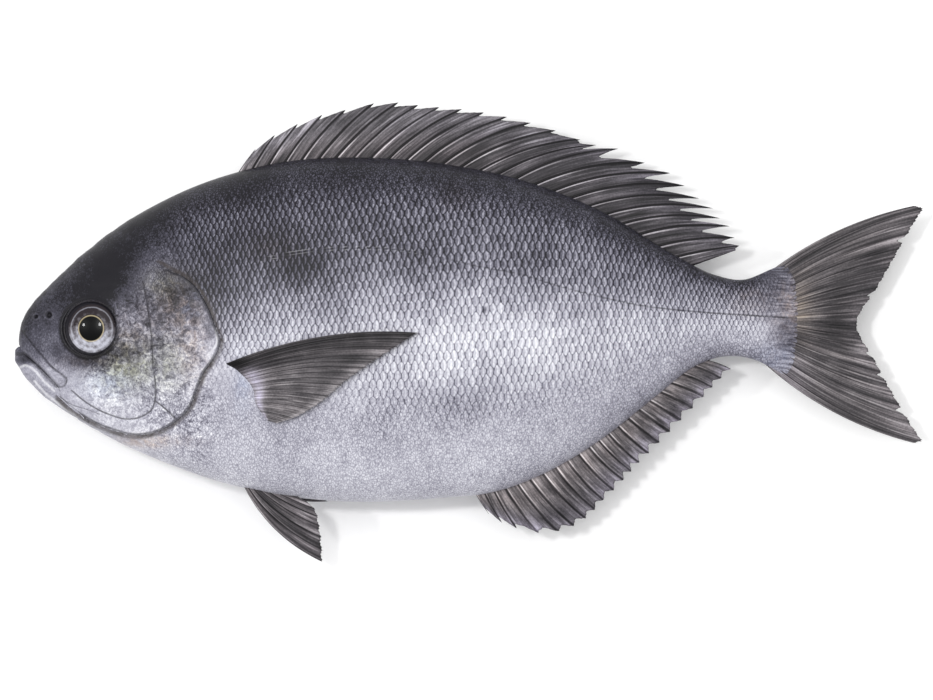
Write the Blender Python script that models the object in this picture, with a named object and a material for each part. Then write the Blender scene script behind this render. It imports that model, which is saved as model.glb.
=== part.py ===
"""A whole raw fish, deep in the body and grey, lying on its right side as on a slab.

Metres, +Z up. The head points to -X, the back to +Y, and the left flank, which shows, to +Z.
The origin is under the middle of the fish's outline, on the surface that the fish lies on.
The outlines are in hundredths of the total length, as fish are measured: x from the lower lip
towards the tail, y up from the middle of the outline, and z out from the plane between the flanks.
"""

import math

import bmesh
import bpy
import numpy as np
from mathutils import Matrix

MM = 0.001
SIDES = (1, -1)

# Driving sizes
TOTAL_LENGTH = 400 * MM
HUNDREDTH = TOTAL_LENGTH / 100
MIDDLE = (50.0, 0.033)
HALF_WIDTH = 7.9
FLATTENED_BY = 0.65
GAP = 0.3 * MM

# The body's lines, each a smooth line through (x, y) points
BACK_LINE = (
    (0.0, -2.0), (1.0, 1.6), (2.3, 3.6), (7.6, 8.65), (14.2, 13.3), (22.2, 16.9),
    (30.9, 18.9), (38.5, 19.2), (47.9, 18.4), (56.2, 16.6), (65.5, 12.8), (72.9, 8.3),
    (77.0, 6.3), (80.3, 5.8), (82.9, 6.8), (86.5, 8.5),
)
BELLY_LINE = (
    (0.0, -2.3), (1.0, -4.8), (2.3, -6.2), (7.6, -10.0), (15.5, -13.9), (23.5, -16.7),
    (31.0, -18.2), (39.1, -18.65), (47.2, -18.2), (52.6, -17.6), (57.9, -15.7), (64.9, -11.5),
    (70.7, -6.9), (74.9, -3.7), (78.5, -2.65), (80.9, -2.9), (86.5, -6.1),
)
WIDEST_LEVEL = (
    (0.0, -2.15), (8.4, -0.4), (22.0, 0.2), (37.0, 0.7), (53.0, 1.8), (69.0, 2.1), (79.5, 1.7),
    (86.5, 1.3),
)
WIDTH_SHARE = (
    (0.0, 0.0), (1.0, 0.17), (2.3, 0.29), (5.0, 0.45), (8.4, 0.61), (12.5, 0.76), (17.0, 0.87),
    (22.0, 0.94), (29.0, 0.985), (37.0, 1.0), (45.0, 0.975), (53.0, 0.89), (62.0, 0.7),
    (69.0, 0.5), (74.5, 0.345), (79.5, 0.23), (83.0, 0.15), (86.5, 0.06),
)
RIDGE_POWER = 1.9
KEEL_POWER = 2.15
NOSE = BACK_LINE[0][0]
TAIL_BASE = BACK_LINE[-1][0]

# How high the plane between the flanks lies: the stiff body holds the tail off the slab
REST_HEIGHT = (
    (0.0, 7.0), (18.0, 7.35), (30.0, HALF_WIDTH - FLATTENED_BY), (50.0, 7.0), (75.0, 6.3),
    (100.0, 4.3),
)
PRESS_BLEND = 0.35
PRESS_GIVE = 0.15
FIN_DROOP = 0.02
SLAB_DEPTH = 20 * MM
SLAB_LENGTH = 1.5 * TOTAL_LENGTH

# How finely the pieces are faceted
HEAD_STATIONS = 18
TRUNK_STATIONS = 26
HEAD_END = 23.0
ROUND_STEPS = 38
GILL_STEPS = 30
GILL_RINGS = 4
CHEEK_STEPS = 20
JAW_STEPS = 16
EYE_SEGMENTS = 24
NOSTRIL_SIDES = 10
SHARP_EDGE = math.radians(35)

# Gill cover, cheek and jaws: raised plates of bone under the skin, as (x, y) outlines
GILL_ANCHOR = (11.8, -2.0)
GILL_EDGE = (
    (16.3, 8.0), (19.3, 6.0), (20.9, 3.5), (21.9, 1.0), (22.6, -1.1), (21.6, -2.9), (19.7, -6.4),
    (17.3, -10.1), (13.2, -11.7), (9.2, -10.1), (6.3, -8.3),
)
GILL_LIFT = 0.34
CHEEK_ANCHOR = (11.0, -3.0)
CHEEK_EDGE = (
    (14.4, 5.0), (15.1, 1.6), (15.4, -3.0), (15.7, -7.4), (13.6, -9.4), (10.6, -8.9), (8.1, -7.2),
)
CHEEK_LIFT = 0.36
UPPER_JAW_ANCHOR = (3.2, -3.5)
UPPER_JAW_EDGE = (
    (0.9, -0.6), (2.4, -1.6), (4.2, -3.6), (5.7, -4.9), (5.3, -5.8), (4.6, -5.8), (2.6, -4.0),
    (0.9, -2.5),
)
JAW_LIFT = 0.24
LOWER_JAW_ANCHOR = (3.0, -5.0)
LOWER_JAW_EDGE = (
    (0.25, -3.2), (2.5, -4.4), (4.9, -6.3), (5.6, -7.3), (4.4, -7.2), (2.4, -5.9), (0.9, -4.5),
)
MOUTH = ((-0.6, -2.35), (2.4, -3.75), (4.9, -5.95), (2.3, -4.1), (-0.6, -3.25))
MOUTH_REACH = 4.0
PLATE_DEPTH = 0.9
PLATE_START = (0.25, -0.3)
PLATE_RISE_POWER = 1.5
BOSS_SHARES = (0.02, 0.7, 1.0)
BOSS_RISES = (1.0, 0.95, 0.4)
THINNEST = 0.05

# Eyes and nostrils
EYE_AT = (8.33, 0.39)
EYE_RADIUS = 12.8 * MM
EYE_HALF_DEPTH = 4.8 * MM
EYE_SINK = 2.6 * MM
EYE_TURN = math.radians(15)
NOSTRILS = ((3.85, 1.8, 1.3 * MM), (2.4, 1.65, 0.8 * MM))
NOSTRIL_DEPTH = 1.4 * MM

# Fins: the x of each ray's root, then the tips, as (ray, x, y) knots
DORSAL_RAYS = 27
DORSAL_ROWS = 5
DORSAL_ROOT = (
    (0, 24.0), (2, 27.4), (6, 34.7), (12, 46.2), (16, 54.2), (19, 60.2), (22, 66.0), (26, 74.0),
)
DORSAL_TIPS = (
    (0, 26.5, 20.2), (2, 31.1, 22.9), (5, 39.5, 25.25), (8, 46.8, 24.8), (11, 54.2, 23.7),
    (14, 62.2, 21.2), (15, 64.0, 20.6), (16, 66.4, 20.2), (17, 69.3, 18.65), (18, 72.25, 17.5),
    (20, 75.4, 14.7), (22, 77.7, 12.5), (24, 79.2, 10.4), (25, 79.7, 9.5), (26, 79.2, 8.95),
)
DORSAL_ARCH = ((0, 0.02), (8, 0.05), (17, 0.065), (24, 0.04), (26, 0.0))
DORSAL_NOTCH = (
    (0, 0.18), (5, 0.09), (12, 0.1), (15, 0.14), (17, 0.2), (19, 0.26), (22, 0.3), (25, 0.2),
    (26, 0.02),
)

ANAL_RAYS = 22
ANAL_ROWS = 4
ANAL_ROOT = ((0, 50.3), (2, 52.4), (9, 61.6), (14, 67.0), (21, 75.0))
ANAL_TIPS = (
    (0, 52.3, -20.2), (2, 55.4, -21.7), (4, 59.6, -22.0), (6, 62.8, -20.6), (10, 67.0, -16.4),
    (14, 70.8, -12.3), (18, 75.8, -7.2), (21, 78.9, -4.1),
)
ANAL_ARCH = ((0, -0.02), (10, -0.04), (21, 0.05))
ANAL_NOTCH = ((0, 0.3), (4, 0.13), (14, 0.16), (21, 0.12))

TAIL_RAYS = 23
TAIL_ROWS = 6
TAIL_ROOTS = ((0, 81.0, 5.0), (5, 83.4, 3.4), (11, 84.2, 1.2), (17, 83.4, -1.0), (22, 81.0, -2.1))
TAIL_TIPS = (
    (0, 99.1, 13.95), (1, 100.0, 13.6), (2, 99.2, 12.3), (5, 96.9, 8.2), (8, 94.9, 4.8),
    (11, 92.7, 0.95), (14, 94.7, -3.1), (17, 96.6, -6.6), (20, 99.2, -10.9), (21, 99.9, -11.95),
    (22, 99.1, -12.25),
)
TAIL_ARCH = ((0, 0.065), (11, 0.0), (22, -0.068))
TAIL_NOTCH = ((0, 0.03), (11, 0.05), (22, 0.06))

PECTORAL_RAYS = 15
PECTORAL_ROWS = 6
PECTORAL_ROOTS = ((0, 23.7, -3.4), (5, 25.0, -4.5), (9, 25.9, -6.3), (14, 27.5, -9.2))
PECTORAL_TIPS = (
    (0, 44.9, -0.2), (2, 42.9, -1.5), (4, 40.2, -3.3), (7, 36.6, -6.1), (10, 33.6, -8.3),
    (14, 28.9, -10.0),
)
PECTORAL_ARCH = ((0, 0.062), (14, 0.02))
PECTORAL_NOTCH = ((0, 0.02), (7, 0.035), (14, 0.03))
PECTORAL_SINK = 0.45
PECTORAL_LIFT = 0.85

PELVIC_RAYS = 8
PELVIC_ROWS = 4
PELVIC_ROOTS = ((0, 24.7, -15.9), (7, 26.9, -16.3))
PELVIC_TIPS = (
    (0, 33.9, -25.3), (1, 33.85, -23.9), (3, 33.55, -21.3), (5, 33.0, -19.4), (6, 32.3, -18.75),
    (7, 31.0, -17.95),
)
FOLDED_PELVIC_TIPS = ((0, 34.9, -18.8), (7, 32.5, -17.9))
PELVIC_ARCH = ((0, -0.095), (7, 0.0))
PELVIC_NOTCH = ((0, 0.02), (7, 0.05))
PELVIC_Z = 0.75
PELVIC_SPREAD = 0.5

RAY_THICKNESS = (0.42, 0.22)
WEB_THICKNESS = (0.26, 0.16)
FIN_ROOT_DEPTH = 0.8
COLUMNS_A_RAY = 2
NOTCH_SHARE = (0.0, 1.0)


def smooth_line(points, rooted=False):
    """y at any x, by a cubic through the points. A rooted line starts with an upright tangent."""
    xs, ys = np.array(points, float).T
    start = xs[0]
    knots = np.sqrt(xs - start) if rooted else xs
    slopes = np.gradient(ys, knots)

    def at(x):
        x = np.asarray(x, float)
        t = np.sqrt(np.clip(x - start, 0, None)) if rooted else x
        i = np.clip(np.searchsorted(knots, t) - 1, 0, len(knots) - 2)
        span = knots[i + 1] - knots[i]
        f = np.clip((t - knots[i]) / span, 0, 1)
        g = 1 - f
        ends = (1 + 2 * f) * g * g * ys[i] + f * f * (1 + 2 * g) * ys[i + 1]
        return ends + f * g * span * (g * slopes[i] - f * slopes[i + 1])

    return at


def smooth_path(points, count):
    """count points spread evenly along a smooth curve through (x, y) points."""
    points = np.array(points, float)
    way = np.concatenate([[0], np.cumsum(np.linalg.norm(np.diff(points, axis=0), axis=1))])
    spread = np.linspace(0, way[-1], count)
    return np.column_stack([
        smooth_line(np.column_stack([way, points[:, axis]]))(spread) for axis in (0, 1)
    ])


def knotted(table):
    """Smooth x and y lines over the ray number, from (ray, x, y) knots."""
    table = np.array(table, float)
    return smooth_line(table[:, [0, 1]]), smooth_line(table[:, [0, 2]])


back = smooth_line(BACK_LINE, rooted=True)
belly = smooth_line(BELLY_LINE, rooted=True)
level = smooth_line(WIDEST_LEVEL)
width_share = smooth_line(WIDTH_SHARE, rooted=True)
rest_height = smooth_line(REST_HEIGHT)


def flank(x, y):
    """How far the left flank's skin stands out from the middle plane at (x, y)."""
    above = np.asarray(y) > level(x)
    reach = np.where(above, back(x) - level(x), belly(x) - level(x))
    power = np.where(above, RIDGE_POWER, KEEL_POWER)
    share = np.clip(np.abs((y - level(x)) / reach), 0, 1)
    return HALF_WIDTH * width_share(x) * (1 - share**power) ** (1 / power)


def press(z):
    """Squashes what hangs under the slab's surface, with a soft edge. What is left is cut flat."""
    into = z + PRESS_BLEND
    soft = PRESS_GIVE * z + (1 - PRESS_GIVE) * into**2 / (4 * PRESS_BLEND)
    squashed = np.where(z > PRESS_BLEND, z, np.where(z < -PRESS_BLEND, PRESS_GIVE * z, soft))
    return squashed + PRESS_GIVE * PRESS_BLEND


def laid(points):
    """The fish's own hundredths, upright, turned to metres as it lies."""
    x, y, z = np.array(points, float).T
    beyond = np.clip(np.maximum(y - back(x), belly(x) - y), 0, None)
    droop = np.where(x < TAIL_BASE, FIN_DROOP * beyond**2, 0)
    lifted = press(z + rest_height(x) - droop)
    return np.column_stack([x - MIDDLE[0], y - MIDDLE[1], lifted]) * HUNDREDTH


def material(name, colour, roughness, metallic=0.0):
    made = bpy.data.materials.new(name)
    made.use_nodes = True
    shader = made.node_tree.nodes["Principled BSDF"]
    shader.inputs["Base Color"].default_value = (*colour, 1)
    shader.inputs["Roughness"].default_value = roughness
    shader.inputs["Metallic"].default_value = metallic
    return made


def mesh_object(name, points, faces, finish=None):
    """A closed mesh from points and faces, with its faces turned outwards."""
    mesh = bpy.data.meshes.new(name)
    mesh.from_pydata([tuple(p) for p in points], [], [[int(n) for n in face] for face in faces])
    work = bmesh.new()
    work.from_mesh(mesh)
    bmesh.ops.recalc_face_normals(work, faces=work.faces)
    work.to_mesh(mesh)
    work.free()
    if finish:
        mesh.materials.append(finish)
    made = bpy.data.objects.new(name, mesh)
    bpy.context.scene.collection.objects.link(made)
    return made


def strip_faces(first, second, closed):
    """Quads between two rows of point numbers."""
    count = len(first)
    steps = count if closed else count - 1
    return [
        [first[i], first[(i + 1) % count], second[(i + 1) % count], second[i]]
        for i in range(steps)
    ]


def body(finish):
    """The trunk and head, lofted from the snout to where the tail's rays start."""
    roots = np.linspace(0, math.sqrt(HEAD_END - NOSE), HEAD_STATIONS + 1)[1:]
    xs = np.concatenate([
        NOSE + roots**2, np.linspace(HEAD_END, TAIL_BASE, TRUNK_STATIONS + 1)[1:]
    ])
    angles = np.linspace(0, 2 * math.pi, ROUND_STEPS, endpoint=False)
    across, up = np.cos(angles), np.sin(angles)
    power = np.where(up > 0, RIDGE_POWER, KEEL_POWER)
    across = np.sign(across) * np.abs(across) ** (2 / power)
    up = np.sign(up) * np.abs(up) ** (2 / power)
    points = [(NOSE, level(NOSE), 0)]
    for x in xs:
        reach = np.where(up > 0, back(x) - level(x), level(x) - belly(x))
        ys = level(x) + reach * up
        zs = HALF_WIDTH * width_share(x) * across
        points += zip(np.full_like(ys, x), ys, zs)
    rings = 1 + np.arange(len(xs) * ROUND_STEPS).reshape(-1, ROUND_STEPS)
    faces = [[0, first, second] for first, second in zip(rings[0], np.roll(rings[0], -1))]
    for fore, aft in zip(rings, rings[1:]):
        faces += strip_faces(fore, aft, closed=True)
    faces.append(rings[-1])
    return mesh_object("fish", laid(points), faces, finish)


def sheet_solid(name, outer, inner, finish):
    """A closed solid between two grids of points, each of rows by columns by 3."""
    number = np.arange(outer[..., 0].size).reshape(outer.shape[:2])
    faces = []
    for fore, aft in zip(number, number[1:]):
        faces += strip_faces(fore, aft, closed=False)
    faces += [[number.size + n for n in face] for face in faces]
    rim = np.concatenate([number[0], number[1:, -1], number[-1, -2::-1], number[-2:0:-1, 0]])
    faces += strip_faces(rim, rim + number.size, closed=True)
    points = np.concatenate([outer.reshape(-1, 3), inner.reshape(-1, 3)])
    return mesh_object(name, laid(points), faces, finish)


def on_flank(side, xs, ys, rise):
    """The outer and inner skins of a plate that rises by rise from the flank."""
    skin = flank(xs, ys)
    outer = np.dstack([xs, ys, side * (skin + rise)])
    inner = np.dstack([xs, ys, side * np.maximum(skin - PLATE_DEPTH, THINNEST)])
    return outer, inner


def plate(name, side, anchor, edge, steps, rings, lift, finish):
    """A raised plate on the flank: it rises from the anchor to its free edge."""
    rim = smooth_path(edge, steps)
    start, sunk = PLATE_START
    shares = np.linspace(start, 1, rings)[:, None]
    xs = anchor[0] + (rim[:, 0] - anchor[0]) * shares
    ys = anchor[1] + (rim[:, 1] - anchor[1]) * shares
    rise = sunk + (lift - sunk) * shares**PLATE_RISE_POWER
    return sheet_solid(name, *on_flank(side, xs, ys, rise), finish)


def boss(name, side, anchor, edge, steps, lift, finish):
    """A raised plate with a free edge all round, such as the bone of a jaw."""
    rim = smooth_path([*edge, edge[0]], steps + 1)[:-1]
    shares = np.array(BOSS_SHARES)[:, None]
    xs = anchor[0] + (rim[:, 0] - anchor[0]) * shares
    ys = anchor[1] + (rim[:, 1] - anchor[1]) * shares
    rise = lift * np.array(BOSS_RISES)[:, None]
    outer, inner = on_flank(side, xs, ys, rise)
    number = np.arange(xs.size).reshape(xs.shape)
    faces = [number[0]]
    for fore, aft in zip(number, number[1:]):
        faces += strip_faces(fore, aft, closed=True)
    faces += [[number.size + n for n in face] for face in faces]
    faces += strip_faces(number[-1], number[-1] + number.size, closed=True)
    points = np.concatenate([outer.reshape(-1, 3), inner.reshape(-1, 3)])
    return mesh_object(name, laid(points), faces, finish)


def ray_fin(name, rays, roots, tips, arch, notch, rows, plane, finish):
    """A fin: rays in a fan, with a thinner web between them that stops short of their tips.

    roots and tips are pairs of lines over the ray number. plane gives the fin's middle
    surface as z at (x, y, share of the way out).
    """
    columns = np.arange((rays - 1) * COLUMNS_A_RAY + 1)
    number = columns / COLUMNS_A_RAY
    place = columns % COLUMNS_A_RAY
    dip = np.take(NOTCH_SHARE, place) * smooth_line(notch)(number)
    root = np.column_stack([line(number) for line in roots])
    tip = np.column_stack([line(number) for line in tips])
    reach = tip - root
    bow = np.column_stack([-reach[:, 1], reach[:, 0]]) * smooth_line(arch)(number)[:, None]
    out = np.linspace(0, 1, rows)[:, None] * (1 - dip)
    xs = root[:, 0] + reach[:, 0] * out + 4 * bow[:, 0] * out * (1 - out)
    ys = root[:, 1] + reach[:, 1] * out + 4 * bow[:, 1] * out * (1 - out)
    on_ray = place == 0
    thick = [np.where(on_ray, RAY_THICKNESS[end], WEB_THICKNESS[end]) for end in (0, 1)]
    half = (thick[0] * (1 - out) + thick[1] * out) / 2
    middle = plane(xs, ys, out)
    outer = np.dstack([xs, ys, middle + half])
    inner = np.dstack([xs, ys, middle - half])
    return sheet_solid(name, outer, inner, finish)


def middle_plane(xs, ys, out):
    return np.zeros_like(xs)


def dorsal_fin(finish):
    root_x = smooth_line(DORSAL_ROOT)
    roots = (root_x, lambda ray: back(root_x(ray)) - FIN_ROOT_DEPTH)
    tips = knotted(DORSAL_TIPS)
    return ray_fin("dorsal_fin", DORSAL_RAYS, roots, tips, DORSAL_ARCH, DORSAL_NOTCH,
                   DORSAL_ROWS, middle_plane, finish)


def anal_fin(finish):
    root_x = smooth_line(ANAL_ROOT)
    roots = (root_x, lambda ray: belly(root_x(ray)) + FIN_ROOT_DEPTH)
    tips = knotted(ANAL_TIPS)
    return ray_fin("anal_fin", ANAL_RAYS, roots, tips, ANAL_ARCH, ANAL_NOTCH, ANAL_ROWS,
                   middle_plane, finish)


def tail_fin(finish):
    return ray_fin("tail_fin", TAIL_RAYS, knotted(TAIL_ROOTS), knotted(TAIL_TIPS), TAIL_ARCH,
                   TAIL_NOTCH, TAIL_ROWS, middle_plane, finish)


def pectoral_fin(side, finish):
    """The fin behind the gill cover, laid back along the flank, its hind edge standing off."""

    def along_flank(xs, ys, out):
        stand = -PECTORAL_SINK + (PECTORAL_SINK + PECTORAL_LIFT) * np.sqrt(out)
        return side * (flank(xs, ys) + stand)

    return ray_fin(f"pectoral_fin_{side}", PECTORAL_RAYS, knotted(PECTORAL_ROOTS),
                   knotted(PECTORAL_TIPS), PECTORAL_ARCH, PECTORAL_NOTCH, PECTORAL_ROWS,
                   along_flank, finish)


def pelvic_fin(side, tips, finish):
    """A fin under the belly: the left one is spread, and the right one lies folded back."""

    def beside_keel(xs, ys, out):
        return side * (PELVIC_Z + PELVIC_SPREAD * out)

    return ray_fin(f"pelvic_fin_{side}", PELVIC_RAYS, knotted(PELVIC_ROOTS), knotted(tips),
                   PELVIC_ARCH, PELVIC_NOTCH, PELVIC_ROWS, beside_keel, finish)


def mouth_cutter():
    """A wedge through both sides of the jaws, from the lips to the mouth's corner."""
    points = [(x, y, z) for z in (-MOUTH_REACH, MOUTH_REACH) for x, y in MOUTH]
    right = np.arange(len(MOUTH))
    left = right + len(MOUTH)
    faces = [right, left, *strip_faces(right, left, closed=True)]
    return mesh_object("mouth_cutter", laid(points), faces)


def skin_point(side, x, y):
    """The move to the skin at (x, y) on a side of the head."""
    return Matrix.Translation(laid([(x, y, side * float(flank(x, y)))])[0])


def eye_ball(name, side, grown=0.0, finish=None):
    """A flattened ball, turned to follow the side of the head. Its socket is grown by the gap."""
    bpy.ops.mesh.primitive_uv_sphere_add(segments=EYE_SEGMENTS, ring_count=EYE_SEGMENTS // 2)
    made = bpy.context.object
    made.name = name
    radius, depth = EYE_RADIUS + grown, EYE_HALF_DEPTH + grown
    size = Matrix.Diagonal((radius, radius, depth, 1))
    turn = Matrix.Rotation(-side * EYE_TURN, 4, "Y")
    sink = Matrix.Translation((0, 0, -side * EYE_SINK))
    made.data.transform(skin_point(side, *EYE_AT) @ turn @ sink @ size)
    if finish:
        made.data.materials.append(finish)
        made.data.shade_smooth()
    return made


def nostril_cutter(index, side):
    x, y, radius = NOSTRILS[index]
    bpy.ops.mesh.primitive_cylinder_add(
        vertices=NOSTRIL_SIDES, radius=radius, depth=2 * NOSTRIL_DEPTH
    )
    made = bpy.context.object
    made.name = f"nostril_cutter_{index}_{side}"
    made.data.transform(skin_point(side, x, y))
    return made


def slab_cutter():
    """What lies under the slab's surface."""
    bpy.ops.mesh.primitive_cube_add(size=1)
    made = bpy.context.object
    made.name = "slab_cutter"
    size = Matrix.Diagonal((SLAB_LENGTH, TOTAL_LENGTH, SLAB_DEPTH, 1))
    made.data.transform(Matrix.Translation((0, 0, -SLAB_DEPTH / 2)) @ size)
    return made


def combine(target, parts, operation):
    """One exact Boolean of the target with a collection, applied, and its objects removed."""
    group = bpy.data.collections.new(f"{target.name}_{operation.lower()}")
    bpy.context.scene.collection.children.link(group)
    for made in parts:
        for held in list(made.users_collection):
            held.objects.unlink(made)
        group.objects.link(made)
    join = target.modifiers.new(operation.title(), "BOOLEAN")
    join.operation = operation
    join.operand_type = "COLLECTION"
    join.collection = group
    join.solver = "EXACT"
    bpy.context.view_layer.objects.active = target
    bpy.ops.object.modifier_apply(modifier=join.name)
    for made in parts:
        bpy.data.objects.remove(made)
    bpy.data.collections.remove(group)


def clear_scene():
    for old in list(bpy.data.objects):
        bpy.data.objects.remove(old)


def main():
    clear_scene()
    skin = material("fish_skin", (0.42, 0.42, 0.47), 0.4, 0.2)
    eye = material("fish_eye", (0.5, 0.5, 0.52), 0.15)

    fish = body(skin)
    parts = [dorsal_fin(skin), anal_fin(skin), tail_fin(skin)]
    parts += [pelvic_fin(1, PELVIC_TIPS, skin), pelvic_fin(-1, FOLDED_PELVIC_TIPS, skin)]
    cutters = [mouth_cutter(), slab_cutter()]
    for side in SIDES:
        parts += [
            plate(f"gill_cover_{side}", side, GILL_ANCHOR, GILL_EDGE, GILL_STEPS, GILL_RINGS,
                  GILL_LIFT, skin),
            plate(f"cheek_{side}", side, CHEEK_ANCHOR, CHEEK_EDGE, CHEEK_STEPS, GILL_RINGS,
                  CHEEK_LIFT, skin),
            boss(f"upper_jaw_{side}", side, UPPER_JAW_ANCHOR, UPPER_JAW_EDGE, JAW_STEPS,
                 JAW_LIFT, skin),
            boss(f"lower_jaw_{side}", side, LOWER_JAW_ANCHOR, LOWER_JAW_EDGE, JAW_STEPS,
                 JAW_LIFT, skin),
            pectoral_fin(side, skin),
        ]
        cutters.append(eye_ball(f"socket_{side}", side, GAP))
        cutters += [nostril_cutter(index, side) for index in range(len(NOSTRILS))]
    combine(fish, parts, "UNION")
    combine(fish, cutters, "DIFFERENCE")
    fish.data.shade_smooth()
    fish.data.set_sharp_from_angle(angle=SHARP_EDGE)

    eye_ball("eye_left", 1, finish=eye)
    eye_ball("eye_right", -1, finish=eye)


main()
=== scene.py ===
"""A whole raw grey fish on its right side: scaled skin, head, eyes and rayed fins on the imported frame.

Lengths along the fish are in hundredths of its total length, x from the lower lip to the tail and
y up from the middle of its outline, as in the solids. Relief and patterns are in millimetres.
"""

import math

import bpy
import numpy as np
from mathutils import Matrix, Vector


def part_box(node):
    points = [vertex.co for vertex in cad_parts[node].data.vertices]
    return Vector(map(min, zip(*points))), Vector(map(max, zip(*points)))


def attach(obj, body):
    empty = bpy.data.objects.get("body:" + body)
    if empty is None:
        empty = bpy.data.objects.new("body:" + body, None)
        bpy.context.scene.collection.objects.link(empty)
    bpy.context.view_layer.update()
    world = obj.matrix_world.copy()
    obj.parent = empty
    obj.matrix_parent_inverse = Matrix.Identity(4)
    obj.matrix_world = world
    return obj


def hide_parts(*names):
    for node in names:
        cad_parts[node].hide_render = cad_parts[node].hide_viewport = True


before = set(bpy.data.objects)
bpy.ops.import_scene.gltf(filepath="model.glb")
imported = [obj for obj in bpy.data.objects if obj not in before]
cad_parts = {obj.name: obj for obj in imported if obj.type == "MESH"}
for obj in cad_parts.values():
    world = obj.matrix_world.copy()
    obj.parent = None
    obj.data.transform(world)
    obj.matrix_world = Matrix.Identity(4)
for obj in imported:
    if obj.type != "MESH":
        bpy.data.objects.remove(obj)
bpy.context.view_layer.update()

bl_info = {
    "name": "Whole raw fish",
    "version": (1, 0, 0),
    "blender": (4, 5, 0),
    "location": "3D View > Sidebar > Fish",
    "description": "Skins, fins and eyes for a whole raw fish, with its floor, light and camera",
    "category": "Object",
}

MM = 0.001
FISH_LOW, FISH_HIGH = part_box("fish")
HUNDREDTH = (FISH_HIGH.x - FISH_LOW.x) / 100
MERGE = 0.002 * MM
MM_IN_HUNDREDTH = HUNDREDTH / MM
MIDDLE = (50.0, 0.033)

# The body's lines, each a smooth line through (x, y) points
BACK_LINE = (
    (0.0, -2.0), (1.0, 1.6), (2.3, 3.6), (7.6, 8.65), (14.2, 13.3), (22.2, 16.9),
    (30.9, 18.9), (38.5, 19.2), (47.9, 18.4), (56.2, 16.6), (65.5, 12.8), (72.9, 8.3),
    (77.0, 6.3), (80.3, 5.8), (82.9, 6.8), (86.5, 8.5), (90.0, 10.4),
)
BELLY_LINE = (
    (0.0, -2.3), (1.0, -4.8), (2.3, -6.2), (7.6, -10.0), (15.5, -13.9), (23.5, -16.7),
    (31.0, -18.2), (39.1, -18.65), (47.2, -18.2), (52.6, -17.6), (57.9, -15.7), (64.9, -11.5),
    (70.7, -6.9), (74.9, -3.7), (78.5, -2.65), (80.9, -2.9), (86.5, -6.1), (90.0, -8.4),
)
WIDEST_LEVEL = (
    (0.0, -2.15), (8.4, -0.4), (22.0, 0.2), (37.0, 0.7), (53.0, 1.8), (69.0, 2.1), (79.5, 1.7),
    (90.0, 1.3),
)
WIDTH_SHARE = (
    (0.0, 0.0), (1.0, 0.17), (2.3, 0.29), (5.0, 0.45), (8.4, 0.61), (12.5, 0.76), (17.0, 0.87),
    (22.0, 0.94), (29.0, 0.985), (37.0, 1.0), (45.0, 0.975), (53.0, 0.89), (62.0, 0.7),
    (69.0, 0.5), (74.5, 0.345), (79.5, 0.23), (83.0, 0.155), (86.5, 0.085), (90.0, 0.0),
)
HALF_WIDTH = 7.9
FLATTENED_BY = 0.65
RIDGE_POWER = 1.9
KEEL_POWER = 2.15
REST_HEIGHT = (
    (0.0, 7.0), (18.0, 7.35), (30.0, HALF_WIDTH - FLATTENED_BY), (50.0, 7.0), (75.0, 6.3),
    (100.0, 4.3),
)
PRESS_BLEND = 0.35
PRESS_GIVE = 0.15
FIN_DROOP = 0.02
FIN_DROOP_ENDS = 86.5
SKIN_CLEAR_MM = 0.15

# Scales: how far apart they sit along the fish and from row to row, as (x, mm)
SCALE_ALONG = (
    (12, 2.3), (26, 2.65), (35, 2.95), (43, 3.1), (56, 3.05), (64, 2.75), (71, 2.4), (77, 2.2),
    (90, 1.9),
)
SCALE_ACROSS = (
    (12, 2.6), (26, 3.1), (43, 3.8), (60, 3.8), (66, 3.5), (71, 3.0), (77, 2.4), (90, 2.0),
)
SCALE_POINT = 0.18
SECTION_STEPS = 721
LENGTH_STEPS = 4001
SCALE_CUTS = (4, 5)
TRUNK_FROM = 13.0
TRUNK_TO = 86.5
TAIL_BLEND = (81.0, 86.5)
TAIL_ARC = (81.0, 86.5, 1.8)

# Grey of the skin from back (0) to belly (1), at six places along the fish
GREY_SNOUT = ((0.0, 0.17), (0.3, 0.24), (0.45, 0.3), (0.6, 0.36), (0.75, 0.56), (1.0, 0.56))
GREY_CROWN = (
    (0.0, 0.1), (0.33, 0.17), (0.4, 0.46), (0.47, 0.68), (0.55, 0.48), (0.65, 0.57), (0.75, 0.7),
    (0.88, 0.75), (1.0, 0.68),
)
GREY_CHEEK = (
    (0.0, 0.1), (0.1, 0.17), (0.2, 0.32), (0.3, 0.43), (0.42, 0.3), (0.55, 0.46), (0.65, 0.6),
    (0.8, 0.62), (0.93, 0.74), (1.0, 0.7),
)
GREY_SHOULDER = (
    (0.0, 0.12), (0.06, 0.16), (0.15, 0.25), (0.25, 0.23), (0.35, 0.28), (0.45, 0.46),
    (0.55, 0.65), (0.8, 0.66), (0.9, 0.69), (1.0, 0.72),
)
GREY_MIDDLE = (
    (0.0, 0.2), (0.06, 0.26), (0.1, 0.32), (0.2, 0.38), (0.3, 0.44), (0.37, 0.58), (0.45, 0.69),
    (0.5, 0.75), (0.6, 0.72), (0.7, 0.67), (0.8, 0.69), (0.9, 0.73), (1.0, 0.68),
)
GREY_REAR = (
    (0.0, 0.2), (0.06, 0.23), (0.1, 0.29), (0.2, 0.4), (0.3, 0.47), (0.4, 0.54), (0.5, 0.6),
    (0.6, 0.65), (0.7, 0.66), (0.8, 0.64), (0.9, 0.57), (1.0, 0.52),
)
GREY_CURVES = (GREY_SNOUT, GREY_CROWN, GREY_CHEEK, GREY_SHOULDER, GREY_MIDDLE, GREY_REAR)
GREY_PLACES = (3.0, 10.5, 14.9, 21.5, 52.0, 77.0)

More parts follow.
